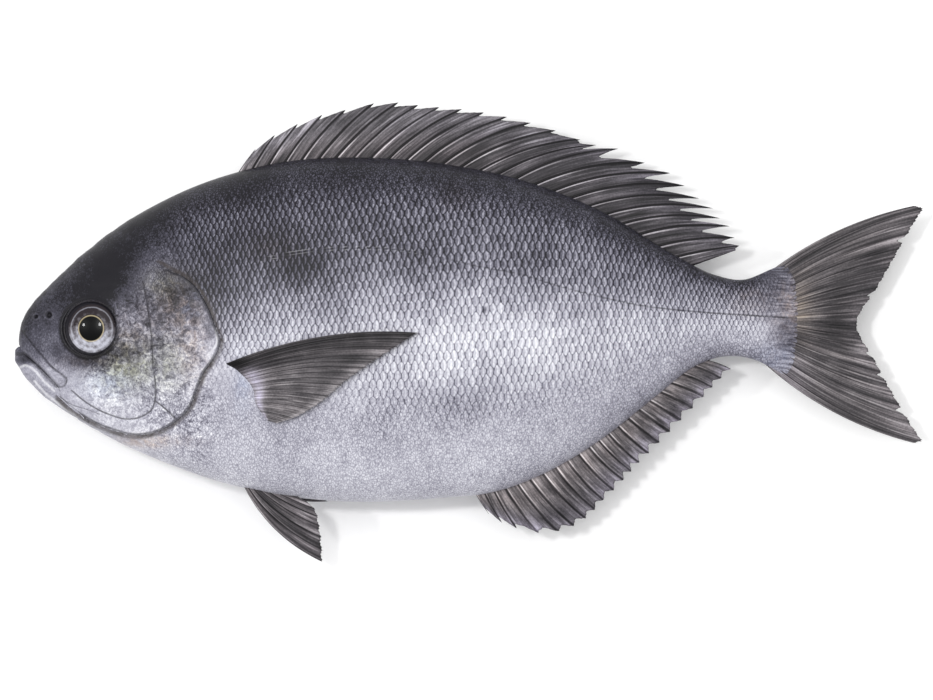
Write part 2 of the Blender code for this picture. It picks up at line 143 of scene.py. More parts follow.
# Marks on the skin: x, y, half-length, half-height, change of grey
DARK_MARKS = (
    (28.0, 9.6, 3.0, 1.7, -0.07), (31.2, 6.9, 2.7, 1.9, -0.17), (25.5, 10.5, 2.0, 1.4, -0.05),
    (48.4, 15.0, 1.8, 1.5, -0.05), (51.7, 2.4, 0.4, 0.35, -0.28), (47.8, -8.0, 4.0, 2.2, -0.09),
    (58.5, 7.6, 2.0, 1.0, -0.04), (66.0, 4.6, 2.2, 0.9, -0.05), (22.5, 2.6, 1.3, 3.6, -0.1),
    (10.6, -2.6, 2.6, 1.1, -0.12), (8.0, -3.2, 2.6, 0.8, -0.2), (5.2, -1.2, 1.0, 1.6, -0.1),
    (0.9, -3.1, 0.9, 0.5, -0.35),
)
# Casts of colour on the skin: x, y, half-length, half-height, strength
BROWN_MARKS = (
    (17.6, 3.0, 3.0, 3.0, 0.65), (19.6, -1.6, 1.8, 3.4, 0.45), (14.8, -12.0, 4.0, 0.7, 0.6),
    (28.6, 9.3, 2.6, 1.6, 0.3), (85.4, 2.7, 1.8, 3.6, 0.6), (12.6, -0.6, 2.2, 2.4, 0.45),
    (8.4, -3.0, 3.0, 0.9, 0.4), (48.4, 15.0, 1.8, 1.5, 0.25), (81.0, 3.5, 2.2, 1.6, 0.35),
)
OLIVE_MARKS = (
    (12.2, -3.4, 3.4, 2.8, 0.8), (16.6, 5.2, 2.6, 1.8, 0.6), (17.2, -3.4, 2.0, 3.0, 0.4),
)
BLUE_MARKS = (
    (19.4, 2.4, 1.1, 1.0, 0.4), (10.4, -5.6, 2.8, 1.7, 0.3), (84.0, -2.8, 2.4, 1.3, 0.3),
    (25.2, -6.0, 0.9, 2.6, 0.3), (20.4, 4.4, 0.6, 1.0, 0.4),
)


def smooth_line(points, rooted=False):
    """y at any x, by a cubic through the points. A rooted line starts with an upright tangent."""
    xs, ys = np.array(points, float).T
    start = xs[0]
    knots = np.sqrt(xs - start) if rooted else xs
    slopes = np.gradient(ys, knots)

    def at(x):
        x = np.asarray(x, float)
        t = np.sqrt(np.clip(x - start, 0, None)) if rooted else x
        i = np.clip(np.searchsorted(knots, t) - 1, 0, len(knots) - 2)
        span = knots[i + 1] - knots[i]
        f = np.clip((t - knots[i]) / span, 0, 1)
        g = 1 - f
        ends = (1 + 2 * f) * g * g * ys[i] + f * f * (1 + 2 * g) * ys[i + 1]
        return ends + f * g * span * (g * slopes[i] - f * slopes[i + 1])

    return at


def smooth_path(points, count):
    """count points spread evenly along a smooth curve through (x, y) points."""
    points = np.array(points, float)
    way = np.concatenate([[0], np.cumsum(np.linalg.norm(np.diff(points, axis=0), axis=1))])
    spread = np.linspace(0, way[-1], count)
    return np.column_stack([
        smooth_line(np.column_stack([way, points[:, axis]]))(spread) for axis in (0, 1)
    ])


def knotted(table):
    """x and y at any ray number, by smooth lines through (ray, x, y) knots."""
    table = np.array(table, float)
    x, y = smooth_line(table[:, [0, 1]]), smooth_line(table[:, [0, 2]])
    return lambda number: (x(number), y(number))


def step(low, high, x):
    """0 below low, 1 above high, with a soft change between them."""
    t = np.clip((np.asarray(x, float) - low) / (high - low), 0, 1)
    return t * t * (3 - 2 * t)


def mound(x, y, at_x, at_y, half_length, half_height):
    return np.exp(-(((x - at_x) / half_length) ** 2 + ((y - at_y) / half_height) ** 2))


def signed_distance(x, y, path):
    """Millimetres from a path of (x, y) points, positive on its left."""
    best = np.full(np.shape(x), 1e9)
    sign = np.ones(np.shape(x))
    for (ax, ay), (bx, by) in zip(path, path[1:]):
        dx, dy = bx - ax, by - ay
        t = np.clip(((x - ax) * dx + (y - ay) * dy) / (dx * dx + dy * dy), 0, 1)
        far = np.hypot(x - ax - t * dx, y - ay - t * dy)
        nearer = far < best
        best = np.where(nearer, far, best)
        sign = np.where(nearer, np.sign(dx * (y - ay) - dy * (x - ax) + 1e-12), sign)
    return best * sign * MM_IN_HUNDREDTH


def ripple(x, y, size, seed):
    """A soft seeded unevenness between -1 and 1 with bumps of about that size."""
    rng = np.random.default_rng(seed)
    total = np.zeros(np.broadcast(x, y).shape)
    for _ in range(7):
        turn = rng.uniform(0, 2 * math.pi)
        wave = rng.uniform(0.7, 1.4) * 2 * math.pi / size
        total = total + np.sin(
            wave * (np.cos(turn) * x + np.sin(turn) * y) + rng.uniform(0, 2 * math.pi)
        )
    return total / 4.5


back = smooth_line(BACK_LINE, rooted=True)
belly = smooth_line(BELLY_LINE, rooted=True)
level = smooth_line(WIDEST_LEVEL)
width_share = smooth_line(WIDTH_SHARE, rooted=True)
rest_height = smooth_line(REST_HEIGHT)


def flank(x, y):
    """How far the left flank's skin stands out from the middle plane at (x, y)."""
    above = np.asarray(y) > level(x)
    reach = np.where(above, back(x) - level(x), belly(x) - level(x))
    power = np.where(above, RIDGE_POWER, KEEL_POWER)
    share = np.clip(np.abs((y - level(x)) / reach), 0, 1)
    return HALF_WIDTH * width_share(x) * (1 - share**power) ** (1 / power)


def press(z):
    """Squashes what would hang under the slab's surface onto it, with a soft edge."""
    into = z + PRESS_BLEND
    soft = PRESS_GIVE * z + (1 - PRESS_GIVE) * into**2 / (4 * PRESS_BLEND)
    squashed = np.where(z > PRESS_BLEND, z, np.where(z < -PRESS_BLEND, PRESS_GIVE * z, soft))
    return np.clip(squashed + PRESS_GIVE * PRESS_BLEND, 0, None)


def laid(x, y, z):
    """The fish's own hundredths, upright, turned to metres as it lies."""
    beyond = np.clip(np.maximum(y - back(x), belly(x) - y), 0, None)
    droop = np.where(x < FIN_DROOP_ENDS, FIN_DROOP * beyond**2, 0)
    lifted = press(z + rest_height(x) - droop)
    return np.stack([x - MIDDLE[0], y - MIDDLE[1], lifted], axis=-1) * HUNDREDTH


def cut_section(at, lines, lip=None, gum=None):
    """y, z and the way along the left skin at station x, from keel to back.

    A lip line cuts the section off flat below it, and a gum line above it, with a raised tongue.
    """
    top, bottom, middle, width = lines
    angle = np.linspace(-math.pi / 2, math.pi / 2, SECTION_STEPS)
    up, across = np.sin(angle), np.clip(np.cos(angle), 0, None)
    power = np.where(up > 0, RIDGE_POWER, KEEL_POWER)
    reach = np.where(up > 0, top(at) - middle(at), middle(at) - bottom(at))
    y = middle(at) + reach * np.sign(up) * np.abs(up) ** (2 / power)
    z = HALF_WIDTH * width(at) * across ** (2 / power)
    if lip is not None and lip(at) > y[0] + 0.02:
        inward = np.clip((y - y[0]) / (lip(at) - y[0]), 0, 1)
        z = np.where(y < lip(at), inward * np.interp(lip(at), y, z), z)
        y = np.maximum(y, lip(at))
    if gum is not None and gum(at) < y[-1]:
        inward = np.clip((y[-1] - y) / (y[-1] - gum(at)), 0, 1)
        cut = y > gum(at)
        z = np.where(cut, inward * np.interp(gum(at), y, z), z)
        y = np.where(cut, gum(at) + TONGUE * (1 - step(0.7, 0.95, inward)), y)
    way = np.cumsum(np.hypot(np.diff(y, prepend=y[0]), np.diff(z, prepend=z[0])))
    return y, z, way


def rings(x, lines, half, lip=None, gum=None):
    """y and z of whole sections at stations x, from the keel up the left and down the right."""
    even = np.linspace(0, 1, half + 1)
    cuts = [cut_section(at, lines, lip, gum) for at in x]
    y = np.array([np.interp(even * way[-1], way, y) for y, _, way in cuts])
    z = np.array([np.interp(even * way[-1], way, z) for _, z, way in cuts])
    return np.concatenate([y, y[:, -2::-1]], 1), np.concatenate([z, -z[:, -2::-1]], 1)


def skin_share(x, y):
    """How far down the flank (x, y) is, from 0 at the back to 1 at the belly."""
    return np.clip((back(x) - y) / (back(x) - belly(x)), 0, 1)


def grey(x, y):
    """How light the skin is at (x, y), from 0 to 1, before its patterns."""
    share = skin_share(x, y)
    levels = [smooth_line(curve)(share) for curve in GREY_CURVES]
    place = np.interp(x, GREY_PLACES, range(len(GREY_PLACES)))
    light = sum(
        found * np.clip(1 - np.abs(place - index), 0, 1) for index, found in enumerate(levels)
    )
    for at_x, at_y, half_length, half_height, change in DARK_MARKS:
        light = light + change * mound(x, y, at_x, at_y, half_length, half_height)
    return light


# Head: the skull in front of where its lines meet the body's, and the upper lip under it
SKULL_NOSE = 0.45
SKULL_BACK = 26.0
SKULL_TOP = (
    (0.45, -0.9), (0.99, 1.6), (2.31, 3.6), (3.63, 4.95), (4.95, 6.27), (6.27, 7.5), (7.6, 8.65),
    (10.5, 10.95), (14.2, 13.3), (22.2, 16.9), (26.5, 18.05),
)
SKULL_WIDTH = (
    (0.45, 0.0), (0.7, 0.1), (1.2, 0.19), (2.3, 0.29), (5.0, 0.45), (8.4, 0.61), (12.5, 0.76),
    (17.0, 0.87), (22.0, 0.94), (26.5, 0.97),
)
UPPER_LIP = (
    (0.45, -1.3), (0.83, -2.2), (1.3, -2.55), (2.5, -3.45), (4.0, -4.95), (5.3, -6.7), (6.4, -8.6),
    (7.4, -10.4), (9.0, -13.0), (26.0, -20.0),
)
SKULL_CUTS = (230, 350)
SKULL_EASE = 1.45
NAPE = (16.5, 20.5)
NAPE_SINK_MM = 0.9

EYE_AT = (8.33, 0.39)
EYE_RADIUS_MM = 12.8
EYE_HALF_DEPTH_MM = 4.8
EYE_TILT = math.radians(15)
SOCKET_MM = (10.9, 11.9)
SOCKET_DEPTH_MM = 4.5
EYELID_MM = (12.6, 0.9, 0.5)
EYE_RIM_RISE_MM = 2.2
EYE_RIM_INSIDE_MM = 0.45
EYE_RIM_HALF_MM = 0.5
EYE_RIM_CUTS = (160, 20)
EYE_CUTS = (112, 72)
PUPIL_OFF_POLE_MM = 1.2
NOSTRILS = ((3.85, 1.87, 1.25), (2.4, 1.7, 0.8))

# Gill cover: its free edge from the top round to the chin, and the line where it leaves the cheek
GILL_EDGE = (
    (16.0, 7.35), (17.3, 6.6), (18.7, 5.95), (20.0, 4.8), (21.3, 2.6), (22.2, 0.22), (22.6, -0.8),
    (22.5, -1.6), (22.0, -2.7), (20.7, -4.6), (20.2, -5.9), (19.1, -8.4), (17.8, -9.65),
    (16.7, -10.4), (14.85, -11.1), (13.0, -11.25), (11.2, -10.8), (9.35, -10.15), (7.6, -9.2),
    (6.2, -8.3), (5.0, -7.2),
)
GILL_ROOT = (
    (14.6, 7.5), (14.0, 6.6), (13.4, 5.4), (12.9, 4.2), (12.5, 3.0), (12.2, 1.6), (12.0, 0.2),
    (11.8, -1.0), (11.5, -2.0), (11.0, -3.0), (10.3, -3.8), (9.5, -4.5), (8.7, -5.0), (8.0, -5.4),
    (7.4, -5.8), (6.8, -6.1), (6.3, -6.3), (5.9, -6.5), (5.5, -6.6), (5.1, -6.7), (4.8, -6.8),
)
GILL_CUTS = (420, 96)
GILL_RIM_CUTS = 14
GILL_RIM_MM = 0.42
GILL_RIM_TURN = math.radians(170)
CHEEK_LINE = (
    (14.2, 5.6), (14.7, 3.1), (15.0, 0.9), (15.2, -0.7), (15.3, -3.3), (15.6, -7.0), (15.3, -8.3),
    (14.0, -9.3), (12.6, -9.55), (10.1, -8.9), (7.9, -7.7), (6.3, -6.4),
)
LOWER_LINE = ((15.5, -7.5), (16.6, -8.35), (17.4, -9.1), (17.95, -9.75))
JAW_CORNER_LINE = ((4.9, -5.9), (5.1, -7.0), (6.2, -7.9), (7.7, -8.4), (9.4, -9.0))

# Jaws: the strap of the upper jaw between two edges, and the lower jaw's own lines
STRAP_TOP = ((0.72, 0.3), (2.0, -1.3), (3.1, -2.6), (4.3, -3.95), (5.2, -4.6), (5.75, -5.1))
STRAP_BOTTOM = ((0.86, -2.2), (1.7, -2.85), (2.6, -3.6), (3.5, -4.55), (4.5, -5.75), (5.4, -5.85))
STRAP_CUTS = (150, 46)
LOWER_JAW_TOP = (
    (0.0, -2.75), (0.25, -2.45), (0.9, -2.42), (1.6, -2.95), (3.0, -4.2), (4.7, -5.9),
    (6.5, -8.1), (9.0, -10.4),
)
LOWER_JAW_BOTTOM = (
    (0.0, -2.95), (0.55, -4.0), (1.0, -4.75), (2.31, -6.2), (3.63, -7.4), (4.95, -8.3),
    (6.27, -9.15), (9.0, -10.85),
)
LOWER_JAW_END = 8.4
LOWER_JAW_CUTS = (110, 180)
LOWER_JAW_EASE = 1.6
TONGUE = 0.75
MOUTH_LINE = (
    (0.12, -2.44), (1.05, -2.42), (1.7, -2.98), (2.6, -3.75), (3.5, -4.7), (4.65, -5.9),
)
STRAP_END = ((5.75, -5.0), (5.75, -5.5), (5.4, -5.95), (4.9, -6.0), (4.5, -5.75))
LIP_STREAK = ((0.5, -3.95), (1.2, -3.65), (2.0, -4.05), (3.0, -5.1), (4.4, -6.5))
CHIN_STREAK = ((2.2, -5.4), (3.6, -6.9), (5.2, -8.1), (7.0, -9.3))
GILL_GLINT = ((22.25, 0.2), (22.35, -1.2), (21.5, -2.4))
LATERAL_LINE = (
    (19.3, 5.7), (32.5, 8.9), (42.4, 9.0), (51.9, 7.0), (55.8, 6.3), (58.6, 5.4), (62.2, 4.4),
    (66.4, 3.4), (67.8, 3.1), (75.4, 2.2), (82.2, 1.76), (86.4, 1.5),
)

# Fins: the x of each ray's root, then the tips, as (ray, x, y) knots, and the grid rows to the tip
FIN_SINK = 0.8

DORSAL_RAYS = 27
DORSAL_ROWS = 42
DORSAL_ROOT = (
    (0, 24.0), (2, 27.4), (6, 34.7), (12, 46.2), (16, 54.2), (19, 60.2), (22, 66.0), (26, 73.8),
)
DORSAL_TIPS = (
    (0, 26.5, 20.2), (1, 28.6, 21.7), (2, 31.1, 22.9), (3, 33.8, 23.9), (4, 36.4, 24.5),
    (5, 39.5, 25.2), (6, 42.2, 25.3), (7, 44.4, 25.0), (9, 49.2, 24.55), (11, 54.2, 23.7),
    (12, 56.8, 23.05), (13, 59.5, 22.2), (14, 62.2, 21.2), (15, 64.0, 20.6), (16, 66.4, 20.2),
    (17, 69.3, 18.65), (18, 72.25, 17.5), (19, 73.8, 16.1), (20, 75.4, 14.7), (21, 76.9, 13.6),
    (22, 77.7, 12.5), (23, 78.7, 11.65), (24, 79.2, 10.4), (25, 79.7, 9.5), (26, 79.3, 9.0),
)
DORSAL_ARCH = ((0, 0.02), (8, 0.05), (17, 0.065), (24, 0.04), (26, 0.0))
DORSAL_NOTCH = (
    (0, 0.16), (5, 0.1), (12, 0.11), (15, 0.14), (16, 0.32), (17, 0.24), (19, 0.32), (22, 0.38),
    (24, 0.32), (25, 0.1), (26, 0.01),
)
DORSAL_EDGE = (1.1, 0.004)
DORSAL_SOFT = (12, 16)

ANAL_RAYS = 22
ANAL_ROWS = 32
ANAL_ROOT = ((0, 50.3), (2, 52.4), (9, 61.6), (14, 67.0), (21, 75.0))
ANAL_TIPS = (
    (0, 52.2, -20.1), (1, 53.6, -21.0), (2, 55.2, -21.6), (3, 57.6, -22.1), (4, 59.8, -21.95),
    (6, 62.8, -20.5), (8, 64.8, -18.5), (10, 67.0, -16.3), (12, 68.7, -14.4), (14, 70.9, -12.2),
    (16, 73.3, -9.7), (18, 75.8, -7.1), (20, 77.7, -5.1), (21, 78.8, -4.05),
)
ANAL_ARCH = ((0, -0.02), (10, -0.04), (21, 0.05))
ANAL_NOTCH = ((0, 0.3), (3, 0.14), (14, 0.16), (21, 0.12))
ANAL_EDGE = (1.1, 0.005)
ANAL_SOFT = (1, 4)

TAIL_RAYS = 23
TAIL_ROWS = 76
TAIL_ROOTS = ((0, 81.0, 5.0), (5, 83.4, 3.4), (11, 84.2, 1.2), (17, 83.4, -1.0), (22, 81.0, -2.1))
TAIL_TIPS = (
    (0, 99.1, 13.95), (1, 100.0, 13.6), (2, 99.2, 12.3), (5, 96.9, 8.3), (8, 94.9, 4.8),
    (11, 92.7, 0.95), (14, 94.7, -3.1), (17, 96.6, -6.6), (20, 99.2, -10.9), (21, 99.9, -11.95),
    (22, 99.1, -12.25),
)
TAIL_ARCH = ((0, 0.065), (11, 0.0), (22, -0.068))
TAIL_NOTCH = ((0, 0.006), (11, 0.018), (22, 0.012))
TAIL_EDGE = (2.6, 0.005)
TAIL_SPLITS = (3, 8, 13, 15, 18)
TAIL_SPLIT_DEPTH = 0.055

PECTORAL_RAYS = 24
PECTORAL_ROWS = 54
PECTORAL_ROOTS = (
    (0, 23.0, -3.6), (6, 24.5, -4.4), (12, 26.1, -6.1), (18, 26.6, -8.0), (23, 27.8, -9.7),
)
PECTORAL_TIPS = (
    (0, 44.8, -0.1), (3, 43.6, -0.8), (7, 40.6, -2.7), (11, 36.9, -5.2), (15, 34.0, -7.6),
    (19, 31.3, -9.2), (23, 28.9, -10.0),
)
PECTORAL_ARCH = ((0, 0.062), (23, 0.02))
PECTORAL_NOTCH = ((0, 0.004), (11, 0.016), (23, 0.02))
PECTORAL_EDGE = (1.5, 0.014)
PECTORAL_SINK = 0.2
PECTORAL_RISE = 1.05
PECTORAL_RISE_POWER = 0.4

PELVIC_RAYS = 8
PELVIC_ROWS = 64
PELVIC_ROOTS = ((0, 24.7, -15.9), (7, 26.9, -16.3))
PELVIC_TIPS = (
    (0, 33.9, -25.3), (1, 33.85, -23.9), (3, 33.55, -21.3), (5, 33.0, -19.4), (6, 32.3, -18.75),
    (7, 31.0, -17.95),
)
FOLDED_PELVIC_TIPS = ((0, 34.6, -18.6), (7, 32.5, -17.9))
PELVIC_ARCH = ((0, -0.095), (7, 0.0))
PELVIC_NOTCH = ((0, 0.012), (7, 0.03))
PELVIC_EDGE = (1.1, 0.006)
PELVIC_Z = 0.75
PELVIC_SPREAD = 0.5

# Half the thickness of a ray and of the web beside it, in mm, at the root and at the tip
RAY_HALF_MM = (0.85, 0.3)
WEB_HALF_MM = (0.4, 0.16)
RAY_PLACES = (0.0, 0.04, 0.1, 0.18, 0.3, 0.42, 0.55, 0.68, 0.8, 0.9, 0.96)

SIDES = (1, -1)
SKIN_NAME = "wet_silver_scaled_skin"
SMOOTH = {"interpolation_type": "SMOOTHSTEP"}
FAR_MM = 99.0

# Stage: floor, camera and lights, in metres
FLOOR_SIZE = 16.0
FLOOR_GAP = 0.0001
CAMERA_LENS = 600.0
CAMERA_SENSOR = 36.0
VIEW_CENTRE = (-0.0013, -0.0080)
VIEW_WIDTH = 0.4105
VIEW_HEIGHT = 0.028 + VIEW_WIDTH * CAMERA_LENS / CAMERA_SENSOR
SKY_STRENGTH = 0.76
LIGHTS = (
    ("softbox_over", (0.2, 1.0, 3.0), 2.6, 40.0),
    ("softbox_left", (-1.88, 0.26, 2.2), 0.18, 13.0),
    ("softbox_right", (-0.62, 0.26, 2.2), 0.18, 13.0),
)

body_lines = (back, belly, level, width_share)
skull_lines = (
    smooth_line(SKULL_TOP, rooted=True), belly, level, smooth_line(SKULL_WIDTH, rooted=True),
)
upper_lip = smooth_line(UPPER_LIP)
jaw_lines = (back, smooth_line(LOWER_JAW_BOTTOM, rooted=True), level, width_share)
jaw_gum = smooth_line(LOWER_JAW_TOP)
scale_along = smooth_line(SCALE_ALONG)
scale_across = smooth_line(SCALE_ACROSS)


def linear(code):
    """An sRGB hex colour as linear red, green and blue."""
    parts = [int(code[i:i + 2], 16) / 255 for i in (1, 3, 5)]
    return tuple(c / 12.92 if c <= 0.04045 else ((c + 0.055) / 1.055) ** 2.4 for c in parts)


def read(items, field, kind=np.float32, width=3):
    """A row of numbers for each of a mesh's items, or one number where width is 1."""
    values = np.empty(len(items) * width, kind)
    items.foreach_get(field, values)
    return values.reshape(-1, width) if width > 1 else values


def sided(name, side):
    return name + ("_left" if side > 0 else "_right")


def start_grid(name, columns, rows):
    """A flat grid, and the column and row of each of its points, from 0 to 1."""
    bpy.ops.object.select_all(action="DESELECT")
    bpy.ops.mesh.primitive_grid_add(x_subdivisions=columns, y_subdivisions=rows, size=2)
    piece = bpy.context.object
    piece.name = piece.data.name = name
    flat = read(piece.data.vertices, "co", float)
    piece.data.uv_layers[0].name = "OFBake"
    column = np.rint((flat[:, 0] + 1) / 2 * columns).astype(int)
    row = np.rint((flat[:, 1] + 1) / 2 * rows).astype(int)
    return piece, column, row


def give_layer(piece, name, values):
    """Stores a number, or three, for each point of the mesh."""
    values = np.asarray(values, np.float32)
    kind, field = ("FLOAT", "value") if values.ndim == 1 else ("FLOAT_VECTOR", "vector")
    layer = piece.data.attributes.new(name, kind, "POINT")
    layer.data.foreach_set(field, values.ravel())


def give_map(piece, name, u, v):
    """A UV map from one u and v for each point of the mesh."""
    corner = read(piece.data.loops, "vertex_index", np.int32, 1)
    made = piece.data.uv_layers.new(name=name)
    made.data.foreach_set("uv", np.stack([u[corner], v[corner]], 1).astype(np.float32).ravel())


def set_points(piece, points):
    piece.data.vertices.foreach_set("co", np.asarray(points, np.float32).ravel())
    piece.data.update()


def enclosed(mesh):
    """The volume inside a closed mesh, below zero where its faces point inwards."""
    mesh.calc_loop_triangles()
    corners = read(mesh.vertices, "co")[read(mesh.loop_triangles, "vertices", np.int32)]
    return np.linalg.det(corners.astype(float)).sum() / 6


def close_up(piece, upwards=None):
    """Merges points that meet, and turns the faces outwards.

    A thin fin can be turned the wrong way as a whole, so its volume decides.
    """
    bpy.context.view_layer.objects.active = piece
    bpy.ops.object.mode_set(mode="EDIT")
    bpy.ops.mesh.select_all(action="SELECT")
    bpy.ops.mesh.remove_doubles(threshold=MERGE)
    if upwards is None:
        bpy.ops.mesh.fill_holes(sides=0)
        bpy.ops.mesh.normals_make_consistent(inside=False)
    bpy.ops.object.mode_set(mode="OBJECT")
    if upwards is None and enclosed(piece.data) < 0:
        piece.data.flip_normals()
    if upwards is not None:
        if read(piece.data.polygons, "normal")[:, 2].sum() * upwards < 0:
            piece.data.flip_normals()
    bpy.ops.object.shade_smooth()


def raise_skin(piece):
    """Moves each point out along its normal by the relief stored on it, in mm.

    It stays a little above the slab, so that the fin under the flank lies between the two.
    """
    mesh = piece.data
    relief = read(mesh.attributes["relief"].data, "value", width=1)
    points = read(mesh.vertices, "co") + read(mesh.vertices, "normal") * relief[:, None] * MM
    points[:, 2] = np.clip(points[:, 2], SKIN_CLEAR_MM * MM, None)
    set_points(piece, points)
    mesh.attributes.remove(mesh.attributes["relief"])


def finish_piece(piece, finish, slot, *nodes):
    """Gives a piece its material and says what it rides on and stands for."""
    piece.data.materials.clear()
    piece.data.materials.append(finish)
    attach(piece, "root")
    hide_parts(*nodes)
    return piece


def marked(x, y, marks):
    """How strong a cast is at (x, y), from 0 to 1."""
    return np.clip(sum(strength * mound(x, y, *place) for *place, strength in marks), 0, 1)


def line_distance(x, y, lines):
    """Distance to the nearest of (path, width in mm) lines, 1 at the line's own width."""
    return np.min([
        np.abs(signed_distance(x, y, smooth_path(path, 4 * len(path)))) / width
        for path, width in lines
    ], axis=0)


def paint_skin(piece, x, y, dark_lines, pale_lines=(), shade_behind_gill=True):
    """Stores on the skin what its finish needs: how light, which patterns, casts and lines."""
    share = skin_share(x, y)
    tone = grey(x, y) + 0.035 * ripple(x, y, 9.0, 3) + 0.02 * ripple(x, y, 3.0, 4)
    eye = np.hypot(x - EYE_AT[0], y - EYE_AT[1]) * MM_IN_HUNDREDTH
    tone = tone - 0.35 * step(EYELID_MM[0] + 1.9, EYELID_MM[0] - 0.4, eye)
    # Nostrils: painted shade in each sunk pit and a painted highlight on its raised rim
    for at_x, at_y, radius in NOSTRILS:
        far = np.hypot(x - at_x, y - at_y) * MM_IN_HUNDREDTH / radius
        tone = tone - 0.25 * np.exp(-(far**2)) + 0.1 * np.exp(-(((far - 1.5) / 0.4) ** 2))
    front = 1 - step(16.0, 23.0, x + 0.2 * y)
    net = step(0.02, 0.14, share) * (1 - 0.85 * step(0.6, 0.85, share)) * (1 - front)
    net = net * (1 - 0.7 * step(0.5, 0.7, share) * (1 - step(30.0, 42.0, x)))
    net = net * (1 - 0.85 * step(80.0, 85.0, x)) * (not dark_lines)
    mottle = step(6.0, 9.5, x) * (1 - step(20.0, 24.0, x)) * step(0.24, 0.4, share)
    mottle = mottle * (1 - 0.5 * step(0.82, 0.95, share))
    mottle = np.maximum(mottle, 0.12 + 0.2 * step(22.0, 16.0, x))
    cells = np.maximum(step(0.58, 0.8, share), step(0.2, 0.06, share)) * step(11.0, 18.0, x)
    cells = np.maximum(cells, 0.9 * front * step(11.0, 18.0, x) * step(0.5, 0.3, share))
    cells = np.maximum(cells, 0.3) * (1 - 0.25 * step(0.6, 0.8, share))
    tail = step(81.8, 85.6, x + 0.35 * np.maximum(y - 1.2, 0) + 0.3 * ripple(x, y, 2.0, 5))
    cells = cells * (1 - 0.8 * tail)
    scaly = mound(x, y, 85.3, 2.7, 1.9, 3.2)
    tone = tone + tail * (0.33 + 0.22 * step(-0.5, -3.0, y) - tone) + 0.24 * scaly
    give_layer(piece, "fray", 0.2 * step(80.0, 84.0, x) + 0.9 * tail)
    give_layer(piece, "tone", tone)
    give_layer(piece, "pattern", np.stack([net, mottle, cells], 1))
    casts = [marked(x, y, marks) for marks in (BROWN_MARKS, OLIVE_MARKS, BLUE_MARKS)]
    give_layer(piece, "cast", np.stack(casts, 1))
    # Painted shadow on the skin in a strip just behind the gill cover's free edge: how far each point lies
    # behind that edge, in mm
    gill_shadow_reach = signed_distance(x, y, smooth_path(GILL_EDGE, 4 * len(GILL_EDGE)))
    gill_shadow_reach = np.where(gill_shadow_reach > 0, gill_shadow_reach, FAR_MM) if shade_behind_gill else np.full(len(x), FAR_MM)
    dark = line_distance(x, y, dark_lines) if dark_lines else np.full(len(x), FAR_MM)
    pale = line_distance(x, y, pale_lines) if pale_lines else np.full(len(x), FAR_MM)
    if not dark_lines:
        lateral = line_distance(x, y, ((LATERAL_LINE, 0.42),))
        dark = lateral + 0.25 * step(52.0, 46.0, x) + 6 * step(36.0, 26.0, x)
        pale = 0.7 + np.abs(lateral - 1.6) + 6 * step(44.0, 52.0, x) + 6 * step(28.0, 22.0, x)
    give_layer(piece, "lines", np.stack([dark, pale, gill_shadow_reach], 1))


def scale_height(u, v):
    """How far the scale at lattice place (u, v) stands up: 0 in its pocket, most at its free edge."""
    row = np.floor(v)
    place = (u - 0.5 * (row % 2)) % 1
    row = row + (v - row > 0.5 - SCALE_POINT * np.cos(2 * math.pi * place))
    place = (u - 0.5 * (row % 2)) % 1
    crown = np.clip(1 - (1.5 * (v - row)) ** 2, 0, 1)
    return crown * place * step(1.0, 0.85, place)


def make_trunk(side, finish, sizes):
    """One flank from behind the head to the tail, a row of grid cells to each cut of a scale."""
    fine = np.linspace(TRUNK_FROM, TRUNK_TO, LENGTH_STEPS)
    gone = np.cumsum(np.diff(fine, prepend=TRUNK_FROM) * MM_IN_HUNDREDTH / scale_along(fine))
    columns = int(gone[-1] * SCALE_CUTS[0])
    u = np.linspace(0, gone[-1], columns + 1)
    x = np.interp(u, gone, fine)
    cuts = [cut_section(at, body_lines) for at in x]
    pitch = (scale_across(x) / MM_IN_HUNDREDTH)[:, None]
    whole = np.array([way[-1] for _, _, way in cuts])[:, None]
    widest = np.array([np.interp(level(at), y, way) for at, (y, _, way) in zip(x, cuts)])[:, None]
    below = math.ceil(np.max(widest / pitch) * SCALE_CUTS[1])
    above = math.ceil(np.max((whole - widest) / pitch) * SCALE_CUTS[1])
    way_up = np.clip(widest + np.arange(-below, above + 1) / SCALE_CUTS[1] * pitch, 0, whole)
    y = np.array([np.interp(up, way, found) for up, (found, _, way) in zip(way_up, cuts)])
    z = np.array([np.interp(up, way, found) for up, (_, found, way) in zip(way_up, cuts)])
    v = (way_up - widest) / pitch
    piece, column, row = start_grid(sided("trunk", side), columns, below + above)
    at_x, at_y, at_v, at_u = x[column], y[column, row], v[column, row], u[column]
    start, end, fall = TAIL_ARC
    upper = at_y > level(at_x)
    reach = np.where(upper, back(at_x), belly(at_x)) - level(at_x)
    from_middle = np.clip((at_y - level(at_x)) / reach, 0, 1)
    at_x = at_x - fall * step(start, end, at_x) * from_middle**2
    reach = np.where(upper, back(at_x), belly(at_x)) - level(at_x)
    at_y = level(at_x) + from_middle * reach
    thin = 1 - np.interp(at_x, TAIL_BLEND, (0, 1)) ** 1.5
    set_points(piece, laid(at_x, at_y, side * z[column, row] * thin))
    paint_skin(piece, at_x, at_y, ())
    share = skin_share(at_x, at_y)
    strength = step(0.04, 0.25, share) * (1 - 0.7 * step(0.7, 0.86, share)) * step(17.0, 25.0, at_x)
    strength = np.clip(strength, 0.15, 1) * step(TRUNK_FROM + 2, TRUNK_FROM + 6, at_x)
    seam = np.minimum(way_up, whole - way_up)[column, row] * MM_IN_HUNDREDTH
    relief = sizes.scale_relief / MM * strength * scale_height(at_u, at_v)
    relief = relief + 0.1 * ripple(at_x, at_y, 4.0, 8) - 0.7 * step(16.8, 13.5, at_x)
    give_layer(piece, "relief", relief * step(0.0, 2.0, seam))
    give_map(piece, "Scales", at_u, at_v)
    close_up(piece, upwards=side)
    raise_skin(piece)
    return finish_piece(piece, finish, "fish_skin", "fish")
